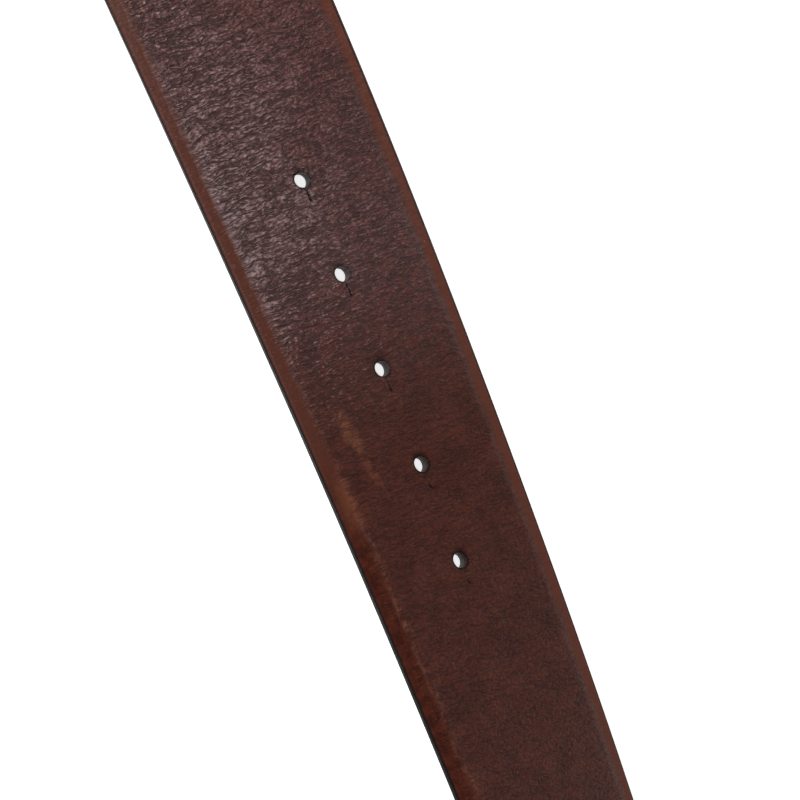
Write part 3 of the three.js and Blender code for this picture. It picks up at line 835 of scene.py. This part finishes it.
def hole_relief(station, across, centre, slit_half):
    """How far a punched hole and its cut press the surface down."""
    dx = station - centre
    radius = sizes().hole_radius
    rho = np.hypot(dx, across) + 1e-9
    rim = rho - radius
    press = 0.26 * MM * bell(rim, 1.0 * MM) * smooth(-dx / rho, -0.3, 1.0)
    rounding = 0.16 * MM * np.exp(-np.clip(rim, 0, None) / (0.14 * MM))
    reach = sizes().slit_reach
    on_slit = smooth(dx, 1.0 * MM, 1.8 * MM) * (1 - smooth(dx, reach, reach + 0.3 * MM))
    groove = 0.20 * MM * bell(across, 0.16 * MM + slit_half) * on_slit
    end = np.hypot(dx - reach, across)
    pit = 0.16 * MM * bell(end, 0.30 * MM)
    lips = -0.05 * MM * bell(np.abs(across) - 0.5 * MM, 0.3 * MM) * on_slit
    return press + rounding + groove + pit + lips


def emboss(points, detailed):
    """Outer surface of a leather: crown, rounded edge, edge groove, hole presses and slow waves."""
    station, across = points[:, 0], points[:, 1]
    from_middle = np.abs(across)
    height = crown(across)
    radius = sizes().edge_round
    past = np.clip(from_middle - (HALF_WIDTH - radius), 0, radius)
    height = height - (radius - np.sqrt(radius**2 - past**2))
    groove = HALF_WIDTH - sizes().edge_band
    height = height - 0.05 * MM * bell(from_middle - groove, 0.5 * MM)
    if detailed:
        far = smooth(station, 138 * MM, 172 * MM) * (1 - smooth(station, 300 * MM, 340 * MM))
        raised = far * (across > 0)
        height = height + raised * 0.11 * MM * bell(across - groove + 1.1 * MM, 0.7 * MM)
        waves = np.array(
            [noise.noise(Vector((s * 70, u * 110, 0.3))) for s, u in zip(station, across)]
        )
        height = height + 0.07 * MM * waves * (1 - smooth(from_middle, 16 * MM, 19 * MM))
    for index, centre in enumerate(hole_stations()):
        near = np.abs(station - centre - 2 * MM) < 12 * MM
        depth = hole_relief(station[near], across[near], centre, slit_half_width(index))
        height[near] -= depth * (1.0 if detailed else 0.4)
    return height


class Layer:
    """Collects one flat layer's two skins, its rim and its holes as vertices and faces."""

    def __init__(self, columns, rows, over, under):
        self.columns, self.rows = columns, rows
        self.over, self.under = over, under
        self.points, self.faces, self.finish = [], [], []
        self.skins = [self.add_grid(over), self.add_grid(under)]
        self.skipped = set()

    def add_points(self, flat, surface):
        start = len(self.points)
        flat = np.array(flat, float)
        heights = surface(flat)
        self.points.extend(np.column_stack([flat, heights]).tolist())
        return list(range(start, start + len(flat)))

    def add_grid(self, surface):
        shares = tip_share(self.columns)
        flat = [(s, u * share) for s, share in zip(self.columns, shares) for u in self.rows]
        numbers = self.add_points(flat, surface)
        return np.array(numbers).reshape(len(self.columns), len(self.rows))

    def face(self, numbers, finish_index=0):
        self.faces.append([int(n) for n in numbers])
        self.finish.append(finish_index)

    def punch(self, centre, slit_half):
        border, cells = patch_border(self.columns, self.rows, centre)
        self.skipped |= cells
        outline = keyhole(centre, slit_half, 2 * len(border))
        corner = [(self.columns[i], self.rows[j]) for i, j in border]
        doubled = []
        for k, point in enumerate(corner):
            after = corner[(k + 1) % len(corner)]
            doubled.append(point)
            doubled.append(((point[0] + after[0]) / 2, (point[1] + after[1]) / 2))
        walls = []
        for side, surface in enumerate((self.over, self.under)):
            rings = []
            for share in RING_SHARES:
                flat = [
                    (a[0] + (b[0] - a[0]) * share, a[1] + (b[1] - a[1]) * share)
                    for a, b in zip(outline, doubled)
                ]
                rings.append(self.add_points(flat, surface))
            self.ring_faces(rings, side)
            self.border_faces(rings[-1], [self.skins[side][i, j] for i, j in border], side)
            walls.append(rings[0])
        self.wall_faces(walls[0], walls[1])

    def ring_faces(self, rings, side):
        for inner, outer in zip(rings, rings[1:]):
            count = len(inner)
            for k in range(count):
                n = (k + 1) % count
                self.face([inner[k], outer[k], outer[n], inner[n]][:: 1 if side == 0 else -1])

    def border_faces(self, ring, border, side):
        count = len(border)
        for k in range(count):
            n = (k + 1) % count
            a, b, c = ring[2 * k], ring[2 * k + 1], ring[(2 * k + 2) % len(ring)]
            for triangle in ([border[k], b, a], [border[k], border[n], b], [border[n], c, b]):
                self.face(triangle[:: 1 if side == 0 else -1])

    def wall_faces(self, over, under):
        count = len(over)
        for k in range(count):
            n = (k + 1) % count
            self.face([over[k], over[n], under[n], under[k]], 1)

    def close(self):
        top, bottom = self.skins
        last_column, last_row = len(self.columns) - 1, len(self.rows) - 1
        for i in range(last_column):
            for j in range(last_row):
                if (i, j) not in self.skipped:
                    self.face([top[i, j], top[i + 1, j], top[i + 1, j + 1], top[i, j + 1]])
                    self.face([bottom[i, j], bottom[i, j + 1], bottom[i + 1, j + 1], bottom[i + 1, j]])
            self.face([top[i, 0], bottom[i, 0], bottom[i + 1, 0], top[i + 1, 0]])
            self.face([top[i, last_row], top[i + 1, last_row], bottom[i + 1, last_row], bottom[i, last_row]])
        for j in range(last_row):
            self.face([top[0, j], top[0, j + 1], bottom[0, j + 1], bottom[0, j]], 1)
            end = last_column
            self.face([top[end, j], bottom[end, j], bottom[end, j + 1], top[end, j + 1]], 1)

    def piece(self, name):
        flat = np.array(self.points)
        made = new_piece(name, laid(flat), self.faces)
        made.data.polygons.foreach_set("material_index", self.finish)
        pattern = made.data.uv_layers.new(name="flat")
        numbers = np.zeros(len(made.data.loops), int)
        made.data.loops.foreach_get("vertex_index", numbers)
        pattern.data.foreach_set("uv", flat[numbers][:, [1, 0]].ravel())
        # Darkness round the holes, a burnished ring with painted shadow, for the face material.
        press = made.data.attributes.new("press", "FLOAT", "POINT")
        press.data.foreach_set("value", rim_burnish_and_shadow(flat))
        return outward(made)


def layer_rows(half):
    steps = [u for u in HALF_ACROSS if u < half - 0.05 * MM] + [half]
    return np.array([-u for u in reversed(steps)] + [0.0] + steps)


def strap_layer(name, start, end, half, over, under):
    """One layer of the strap between two stations, punched where the holes fall."""
    layer = Layer(strap_stations(start, end), layer_rows(half), over, under)
    for index, centre in enumerate(hole_stations()):
        if start < centre - PATCH_BACK * MM and centre + PATCH_AHEAD * MM < end:
            layer.punch(centre, slit_half_width(index))
    layer.close()
    return shade(layer.piece(name), 40)


def inner_height(points):
    """Height of a leather's bonded side: over the core in the middle, closing at the edges."""
    over_core = 1 - smooth(np.abs(points[:, 1]), CORE_WIDTH / 2, CORE_WIDTH / 2 + CORE)
    return BOND / 2 + (CORE / 2 + BOND / 2) * over_core


LAYERS = {
    "face_leather": (
        HALF_WIDTH, 0.0, STRAP_END, lambda p: emboss(p, True), inner_height,
        ("face", "cut_brown"), "face_leather",
    ),
    "core": (
        CORE_WIDTH / 2, 8 * MM, BAR_STATION - TAB_END, lambda p: np.full(len(p), CORE / 2),
        lambda p: np.full(len(p), -CORE / 2), ("core", "core"), "core",
    ),
    "back_leather": (
        HALF_WIDTH, 0.0, STRAP_END, lambda p: -inner_height(p), lambda p: -emboss(p, False),
        ("back", "cut_black"), "back_leather",
    ),
}


def bend_over_joint(piece):
    """Bakes the piece's placement into its mesh; the ends of the stretch round the flex point are found, but
    the piece is not bent.
    """
    start = at_station(FLEX_POINT - FLEX_REACH)
    end = at_station(FLEX_POINT + FLEX_REACH)
    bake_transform(piece)


def add_layer(key):
    half, start, end, over, under, finishes, slot = LAYERS[key]
    tail = strap_layer(f"{key}_tail_run", start, RUN_SPLIT, half, over, under)
    body = strap_layer(f"{key}_body_run", RUN_SPLIT, end, half, over, under)
    dress(tail, None, slot, *finishes)
    bend_over_joint(tail)
    dress(body, "strap", slot, *finishes)
    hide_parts(f"{key}_tail")
    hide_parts(f"{key}_body")


PAINT_TOP = 0.54 * MM
PAINT_COAT = 0.15 * MM


def paint_profile():
    """Section of the edge paint as (outward, height) points: a bead over the joint and the back's edge."""
    radius = sizes().edge_round
    low = -(EDGE_THICKNESS / 2 - radius)
    points = [(-radius, PAINT_TOP - 0.24 * MM), (-0.06 * MM, PAINT_TOP)]
    for share in (0.25, 0.5, 0.75, 1.0):
        angle = share * math.pi / 2
        drop = 0.02 * MM + 0.26 * MM * (1 - math.cos(angle))
        points.append((PAINT_COAT * math.sin(angle), PAINT_TOP - drop))
    for i in range(1, 8):
        angle = math.radians(82 * i / 7)
        reach = radius + PAINT_COAT * math.cos(angle) + 0.03 * MM
        points.append((-radius + reach * math.cos(angle), low - reach * math.sin(angle)))
    return points + [(-radius, low - radius * 0.7)]


def edge_path(start, end):
    """Edge of the flat strap as (station, across) points: round the tip, or two plain sides."""
    stations = strap_stations(start, end)
    side = [(s, HALF_WIDTH * tip_share(np.array([s]))[0]) for s in stations]
    if start > 0:
        return [side[::-1], [(s, -u) for s, u in side]]
    blunt = [(0.0, TIP_BLUNT * t) for t in (0.5, 0.0, -0.5)]
    return [side[::-1] + blunt + [(s, -u) for s, u in side]]


def paint_strip(name, path, section):
    """A closed bar: section points carried along a flat path, then laid."""
    points = np.array(path)
    flat = []
    for k, (s, u) in enumerate(path):
        step = path_step(points, k)
        flat += [(s + step[1] * o, u - step[0] * o, v) for o, v in section]
    return new_piece(name, laid(np.array(flat)), bar_faces(len(path), len(section)))


def add_edge_paint():
    section = paint_profile()
    tail = paint_strip("edge_paint_tail_run", edge_path(0.0, RUN_SPLIT)[0], section)
    dress(shade(outward(tail), 50), None, "back_leather", "paint")
    bend_over_joint(tail)
    for number, path in enumerate(edge_path(RUN_SPLIT, STRAP_END), 1):
        body = paint_strip(f"edge_paint_body_run_{number}", path, section)
        dress(shade(outward(body), 50), "strap", "back_leather", "paint")


# ---- buckle, stud and screws ----

FRAME_SIDE = 4.8 * MM
FRAME_FRONT_BAR = 7 * MM
FRAME_FRONT = BAR_CENTRE.x - FRAME_LOW.x
FRAME_WINDOW = FRAME_FRONT - FRAME_FRONT_BAR
FRAME_HEEL = FRAME_HIGH.x - BAR_CENTRE.x
FRAME_FRONT_DEPTH = BAR_CENTRE.y - FRAME_LOW.y
FRAME_BACK_DEPTH = FRAME_HIGH.y - BAR_CENTRE.y
FRAME_CORNER = 7 * MM
FRAME_INNER_CORNER = 2.5 * MM
STUD_BALL = 2.3 * MM
STUD_NECK = 1.2 * MM
STUD_NECK_SPARE = 0.7 * MM
STUD_FLANGE = 2.6 * MM
STUD_FLANGE_THICKNESS = 0.7 * MM
SCREW_HEAD = 4.2 * MM
SCREW_HEAD_THICKNESS = 1.1 * MM
SCREW_POST = 2.4 * MM
SCREW_SPACING = 18 * MM
SCREW_ALONG = -(TAB_TOTAL - 9 * MM)
SCREW_BACK = STRAP_BACK + TAB_GAP + THICKNESS


def arc_points(centre, radius, start, end, steps):
    """Points of an arc, angles in degrees."""
    angles = [math.radians(start + (end - start) * i / steps) for i in range(steps + 1)]
    return [(centre[0] + radius * math.cos(a), centre[1] + radius * math.sin(a)) for a in angles]


def frame_outline():
    """The frame's three-sided outline, open towards the strap."""
    inner = FRAME_HALF - FRAME_SIDE
    heel = FRAME_SIDE / 2
    corner = FRAME_FRONT - FRAME_CORNER
    pocket = FRAME_WINDOW - FRAME_INNER_CORNER
    low_heel = (-FRAME_HEEL + heel, -FRAME_HALF + heel)
    high_heel = (-FRAME_HEEL + heel, FRAME_HALF - heel)
    points = arc_points((corner, -FRAME_HALF + FRAME_CORNER), FRAME_CORNER, -90, 0, 10)
    points += arc_points((corner, FRAME_HALF - FRAME_CORNER), FRAME_CORNER, 0, 90, 10)
    points += arc_points(high_heel, heel, 90, 270, 12)
    points += arc_points((pocket, inner - FRAME_INNER_CORNER), FRAME_INNER_CORNER, 90, 0, 6)
    points += arc_points((pocket, -inner + FRAME_INNER_CORNER), FRAME_INNER_CORNER, 0, -90, 6)
    points += arc_points(low_heel, heel, 90, 270, 12)
    return points


def rod(radius, half):
    """A plain rod along y reaching half each way, used as a bar or to cut."""
    deselect_all()
    bpy.ops.mesh.primitive_cylinder_add(
        vertices=40, radius=radius, depth=2 * half, rotation=(math.radians(90), 0, 0)
    )
    bpy.ops.object.transform_apply(location=True, rotation=True, scale=True)
    return bpy.context.active_object


def turned(name, profile):
    """A piece turned on a lathe about z from (radius, height) points on the axis at both ends."""
    piece = new_piece(name, [(r, 0, z) for r, z in profile], [])
    mesh = piece.data
    mesh.edges.add(len(profile) - 1)
    for i, edge in enumerate(mesh.edges):
        edge.vertices = (i, i + 1)
    apply_modifier(
        piece, "SCREW", axis="Z", angle=TAU, steps=48, render_steps=48, use_merge_vertices=True,
        merge_threshold=0.002 * MM,
    )
    return outward(piece)


def add_buckle_frame():
    outline = frame_outline()
    count = len(outline)
    low = [(x, y, -FRAME_FRONT_DEPTH) for x, y in outline]
    piece = new_piece("frame_forging", low, [list(range(count))])
    activate(piece)
    bpy.ops.object.mode_set(mode="EDIT")
    bpy.ops.mesh.select_all(action="SELECT")
    depth = FRAME_FRONT_DEPTH + FRAME_BACK_DEPTH
    bpy.ops.mesh.extrude_region_move(TRANSFORM_OT_translate={"value": (0, 0, depth)})
    bpy.ops.object.mode_set(mode="OBJECT")
    outward(piece)
    cut_away(piece, rod(BAR_RADIUS + 0.05 * MM, 2 * FRAME_HALF))
    bevel(piece, 0.75 * MM, 4)
    piece = shade(seated(piece), 40)
    dress(piece, "buckle", "buckle_metal", "brushed")
    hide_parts("buckle_frame")


def add_heel_bar():
    piece = rod(BAR_RADIUS, FRAME_HALF - 0.6 * MM)
    piece.name = "heel_bar_pin"
    bevel(piece, 0.3 * MM, 3)
    dress(shade(seated(piece), 40), "buckle", "buckle_metal", "turned")
    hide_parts("heel_bar")


def stud_profile():
    neck_top = STUD_FLANGE_THICKNESS + THICKNESS + STUD_NECK_SPARE
    rise = math.sqrt(STUD_BALL**2 - STUD_NECK**2)
    round_edge = 0.2 * MM
    points = [
        (0, 0), (STUD_FLANGE, 0), (STUD_FLANGE, STUD_FLANGE_THICKNESS - round_edge),
        (STUD_FLANGE - 0.06 * MM, STUD_FLANGE_THICKNESS - 0.06 * MM),
        (STUD_FLANGE - round_edge, STUD_FLANGE_THICKNESS),
        (STUD_NECK + 0.4 * MM, STUD_FLANGE_THICKNESS),
        (STUD_NECK + 0.1 * MM, STUD_FLANGE_THICKNESS + 0.12 * MM),
        (STUD_NECK, STUD_FLANGE_THICKNESS + 0.4 * MM), (STUD_NECK, neck_top - 0.3 * MM),
    ]
    start = math.atan2(-rise, STUD_NECK)
    for i in range(17):
        angle = start + (math.pi / 2 - start) * i / 16
        radius = 0.0 if i == 16 else STUD_BALL * math.cos(angle)
        points.append((radius, neck_top + rise + STUD_BALL * math.sin(angle)))
    return points


def add_ball_stud():
    piece = turned("ball_stud_turned", stud_profile())
    piece.data.transform(Matrix.Translation((FRAME_WINDOW + FRAME_FRONT_BAR / 2, 0, FRAME_BACK_DEPTH)))
    dress(shade(seated(piece), 40), "buckle", "buckle_metal", "turned")
    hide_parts("ball_stud")


def head_profile(base, up):
    """A low domed head standing from base in the given direction."""
    dome = [(SCREW_HEAD, 0.0), (SCREW_HEAD, 0.45), (SCREW_HEAD - 0.15 * MM, 0.72)]
    dome += [(SCREW_HEAD - 0.5 * MM, 0.9), (SCREW_HEAD * 0.6, 0.98), (SCREW_HEAD * 0.3, 1.0), (0.0, 1.0)]
    return [(r, base + up * share * SCREW_HEAD_THICKNESS) for r, share in dome]


def add_screw(number, height):
    grip = SCREW_BACK - STRAP_FRONT
    post = turned(
        f"screw_post_turned_{number}",
        head_profile(STRAP_FRONT, -1)[::-1]
        + [(SCREW_POST, STRAP_FRONT), (SCREW_POST, STRAP_FRONT + grip), (0, STRAP_FRONT + grip)],
    )
    male = turned(f"screw_turned_{number}", [(0, SCREW_BACK)] + head_profile(SCREW_BACK + 0.02 * MM, 1))
    deselect_all()
    bpy.ops.mesh.primitive_cube_add(size=1, location=(0, 0, SCREW_BACK + SCREW_HEAD_THICKNESS))
    slot = bpy.context.active_object
    slot.scale = (4 * SCREW_HEAD, 0.9 * MM, 1.0 * MM)
    bpy.ops.object.transform_apply(location=True, rotation=True, scale=True)
    cut_away(male, slot)
    for piece, node in ((post, f"screw_post_{number}"), (male, f"screw_{number}")):
        piece.data.transform(Matrix.Translation((SCREW_ALONG, height, 0)))
        dress(shade(seated(piece), 35), "strap", "screw_metal", "turned")
        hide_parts(node)


# ---- keepers and staples ----

KEEPER_WALL = 1.3 * MM
KEEPER_REACH = HALF_WIDTH + 0.5 * MM
KEEPER_CORNER = 1.2 * MM
KEEPER_JOINT = 0.15 * MM
TAIL_SPACE = THICKNESS + 0.7 * MM


def band_path(front, back, joint_at_back):
    """Middle line of a keeper's band as (y, z) points, from one end of its joint to the other."""
    half = KEEPER_WALL / 2
    radius = KEEPER_CORNER + half
    reach, low, high = KEEPER_REACH + half, front - half, back + half

    def corner(side, z, start):
        angles = np.linspace(math.radians(start), math.radians(start + 90), 9)
        return [(side * (reach - radius) + radius * math.cos(a), z + radius * math.sin(a)) for a in angles]

    def straight(z, shares):
        return [(reach * t, z) for t in shares]

    points = [(KEEPER_JOINT, low)] + straight(low, (0.25, 0.5, 0.75))
    points += corner(1, low + radius, -90) + corner(1, high - radius, 0)
    points += straight(high, (0.75, 0.5, 0.25, 0, -0.25, -0.5, -0.75))
    points += corner(-1, high - radius, 90) + corner(-1, low + radius, 180)
    points += straight(low, (-0.75, -0.5, -0.25)) + [(-KEEPER_JOINT, low)]
    return [(y, low + high - z) for y, z in points] if joint_at_back else points


def band_section(width):
    """Section of a keeper's leather as (across the band, outward) points, with eased edges."""
    half, wall, ease = width / 2, KEEPER_WALL / 2, 0.3 * MM
    quarter = [(half, wall - ease), (half - 0.08 * MM, wall - 0.08 * MM), (half - ease, wall)]
    crowned = [(half * t, wall + 0.06 * MM * (1 - t * t)) for t in (0.7, 0.35, 0.0, -0.35, -0.7)]
    top = quarter + crowned + [(-a, b) for a, b in reversed(quarter)]
    under = [(-a, -b) for a, b in quarter] + [(a, -b) for a, b in reversed(quarter)]
    return top + under


def add_keeper(name, node, front, back, width, along, joint_at_back, body):
    line = np.array(band_path(front, back, joint_at_back))
    section = band_section(width)
    runs = np.concatenate([[0], np.cumsum(np.linalg.norm(np.diff(line, axis=0), axis=1))])
    side = -1 if joint_at_back else 1
    points, pattern = [], []
    for k, (y, z) in enumerate(line):
        step = side * path_step(line, k)
        for a, b in section:
            points.append((along - width / 2 + a, y + step[1] * b, z - step[0] * b))
            pattern.append((a, runs[k]))
    piece = new_piece(name, points, bar_faces(len(line), len(section)))
    layer = piece.data.uv_layers.new(name="flat")
    for loop in piece.data.loops:
        layer.data[loop.index].uv = pattern[loop.vertex_index]
    outward(piece)
    dress(shade(seated(piece), 40), body, "keeper_leather", "keeper")
    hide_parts(node)


def add_staple(name, node, along, middle, body):
    """A wire staple whose legs go through the band and whose crown bridges the joint."""
    half, wire, bend = 3.2 * MM, 0.32 * MM, 0.5 * MM
    top = middle + KEEPER_WALL / 2 + wire
    foot = middle - KEEPER_WALL / 2 + 0.05 * MM
    points = [(half, foot), (half, top - bend)]
    points += arc_points((half - bend, top - bend), bend, 0, 90, 5)[1:]
    path = points + [(-y, z) for y, z in reversed(points)]
    curve = bpy.data.curves.new(name, "CURVE")
    curve.dimensions = "3D"
    curve.bevel_depth = wire
    curve.bevel_resolution = 4
    curve.use_fill_caps = True
    spline = curve.splines.new("POLY")
    spline.points.add(len(path) - 1)
    for point, (y, z) in zip(spline.points, path):
        point.co = (along, y, z, 1)
    piece = linked(name, curve)
    activate(piece)
    bpy.ops.object.convert(target="MESH")
    piece = bpy.context.active_object
    piece.name = name
    dress(shade(outward(seated(piece)), 40), body, "staple_wire", "turned")
    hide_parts(node)


def add_fixed_keeper():
    base = STRAP_BACK + 0.1 * MM + KEEPER_WALL
    back = WRAP_INNER + THICKNESS + TAIL_SPACE
    along = -FRAME_HEEL - 2.5 * MM
    add_keeper("fixed_keeper_band", "fixed_keeper", base, back, 9 * MM, along, False, "strap")
    add_staple("fixed_keeper_wire", "fixed_keeper_staple", along - 4.5 * MM, base - KEEPER_WALL / 2, "strap")


def add_sliding_keeper():
    back = STRAP_BACK + TAIL_SPACE
    along = -TAB_TOTAL - 9 * MM
    front = STRAP_FRONT - 0.2 * MM
    add_keeper("sliding_keeper_band", "sliding_keeper", front, back, 12 * MM, along, True, "loose_keeper")
    add_staple(
        "sliding_keeper_wire", "sliding_keeper_staple", along - 6 * MM, back + KEEPER_WALL / 2, "loose_keeper"
    )


# ---- stage ----

VIEW_STATION = 130 * MM
VIEW_ALONG = 4.6 * MM
VIEW_LEFT = 1.34 * MM
VIEW_ROLL = math.radians(-67.62)
SENSOR = 36.0


def add_camera():
    origin, along, across, normal = lie(np.array([VIEW_STATION]))
    forward = Vector(along[0])
    left = Vector((-forward.y, forward.x, 0))
    target = Vector(origin[0] + OFFSET) + VIEW_ALONG * forward + VIEW_LEFT * left
    right = math.cos(VIEW_ROLL) * forward - math.sin(VIEW_ROLL) * left
    up = math.sin(VIEW_ROLL) * forward + math.cos(VIEW_ROLL) * left
    data = bpy.data.cameras.new("camera")
    camera = linked("camera", data)
    height = stage().camera_height
    axes = Matrix((right, up, (0, 0, 1))).transposed().to_4x4()
    camera.matrix_world = Matrix.Translation((target.x, target.y, height)) @ axes
    data.sensor_width = SENSOR
    data.lens = SENSOR * height / stage().view_width
    data.clip_start = 0.01
    data.clip_end = 20.0
    bpy.context.scene.camera = camera
    return target, right, up


def add_softbox(name, place, target, size, power):
    data = bpy.data.lights.new(name, "AREA")
    data.shape = "RECTANGLE"
    data.size = data.size_y = size
    data.energy = power
    light = linked(name, data)
    light.location = place
    light.rotation_euler = (target - place).to_track_quat("-Z", "Y").to_euler()


def add_floor():
    deselect_all()
    bpy.ops.mesh.primitive_plane_add(size=6.0, location=(0, 0, -PAINT_COAT))
    floor = bpy.context.active_object
    floor.name = "floor"
    graph = Graph("pale_floor")
    graph.surface(Base_Color=(0.8, 0.8, 0.8), Roughness=0.9)
    graph.shader.inputs["Emission Color"].default_value = (1, 1, 1, 1)
    graph.shader.inputs["Emission Strength"].default_value = 0.80
    floor.data.materials.append(graph.material)


def add_world():
    world = bpy.data.worlds.new("studio")
    world.use_nodes = True
    background = world.node_tree.nodes["Background"]
    background.inputs["Color"].default_value = (1, 1, 1, 1)
    background.inputs["Strength"].default_value = 0.14
    bpy.context.scene.world = world
    bpy.context.scene.view_settings.view_transform = "Standard"


# ---- operators ----


class BELT_OT_stage(bpy.types.Operator):
    """Sets the camera, floor, world and softboxes"""

    bl_idname = "belt.stage"
    bl_label = "Stage"

    def execute(self, context):
        target, right, up = add_camera()
        add_floor()
        add_world()
        for name, across, along, height, size, power in (
            ("key_softbox", -0.30, 0.58, 0.55, 0.30, stage().key_power),
            ("top_softbox", -0.24, 0.18, 0.80, 0.34, stage().top_power),
            ("fill_softbox", 0.45, -0.75, 0.50, 0.60, stage().fill_power),
        ):
            place = target + across * right + along * up + Vector((0, 0, height))
            add_softbox(name, place, target, size, power)
        return {"FINISHED"}


class BELT_OT_face_leather(bpy.types.Operator):
    """Cuts, punches and lays the brown face leather"""

    bl_idname = "belt.face_leather"
    bl_label = "Face leather"

    def execute(self, context):
        add_layer("face_leather")
        return {"FINISHED"}


class BELT_OT_core(bpy.types.Operator):
    """Lays the stiffening core between the leathers"""

    bl_idname = "belt.core"
    bl_label = "Core"

    def execute(self, context):
        add_layer("core")
        return {"FINISHED"}


class BELT_OT_back_leather(bpy.types.Operator):
    """Cuts, punches and lays the black back leather"""

    bl_idname = "belt.back_leather"
    bl_label = "Back leather"

    def execute(self, context):
        add_layer("back_leather")
        return {"FINISHED"}


class BELT_OT_edge_paint(bpy.types.Operator):
    """Coats the strap's edges with paint"""

    bl_idname = "belt.edge_paint"
    bl_label = "Edge paint"

    def execute(self, context):
        add_edge_paint()
        return {"FINISHED"}


class BELT_OT_buckle(bpy.types.Operator):
    """Makes the buckle frame, its heel bar and its ball stud"""

    bl_idname = "belt.buckle"
    bl_label = "Buckle"

    def execute(self, context):
        add_buckle_frame()
        add_heel_bar()
        add_ball_stud()
        return {"FINISHED"}


class BELT_OT_screws(bpy.types.Operator):
    """Makes the two-part screws that close the fold"""

    bl_idname = "belt.screws"
    bl_label = "Screws"

    def execute(self, context):
        add_screw(1, SCREW_SPACING / 2)
        add_screw(2, -SCREW_SPACING / 2)
        return {"FINISHED"}


class BELT_OT_keepers(bpy.types.Operator):
    """Makes the fixed and sliding keepers and their staples"""

    bl_idname = "belt.keepers"
    bl_label = "Keepers"

    def execute(self, context):
        add_fixed_keeper()
        add_sliding_keeper()
        return {"FINISHED"}


STEPS = (
    BELT_OT_stage,
    BELT_OT_face_leather,
    BELT_OT_core,
    BELT_OT_back_leather,
    BELT_OT_edge_paint,
    BELT_OT_buckle,
    BELT_OT_screws,
    BELT_OT_keepers,
)


class BELT_PT_panel(bpy.types.Panel):
    """Lists the belt's pieces"""

    bl_idname = "BELT_PT_panel"
    bl_label = "Leather belt"
    bl_space_type = "VIEW_3D"
    bl_region_type = "UI"
    bl_category = "Belt"

    def draw(self, context):
        column = self.layout.column()
        for step in STEPS:
            column.operator(step.bl_idname)
        for group in (context.scene.belt_sizes, context.scene.belt_finish, context.scene.belt_stage):
            for name in group.__annotations__:
                column.prop(group, name)


CLASSES = (BeltSizes, BeltFinish, BeltStage, *STEPS, BELT_PT_panel)


def register():
    for made in CLASSES:
        bpy.utils.register_class(made)
    bpy.types.Scene.belt_sizes = bpy.props.PointerProperty(type=BeltSizes)
    bpy.types.Scene.belt_finish = bpy.props.PointerProperty(type=BeltFinish)
    bpy.types.Scene.belt_stage = bpy.props.PointerProperty(type=BeltStage)


def unregister():
    del bpy.types.Scene.belt_stage
    del bpy.types.Scene.belt_finish
    del bpy.types.Scene.belt_sizes
    for made in reversed(CLASSES):
        bpy.utils.unregister_class(made)


def main():
    register()
    for step in STEPS:
        group, name = step.bl_idname.split(".")
        getattr(getattr(bpy.ops, group), name)()


if __name__ == "__main__":
    main()
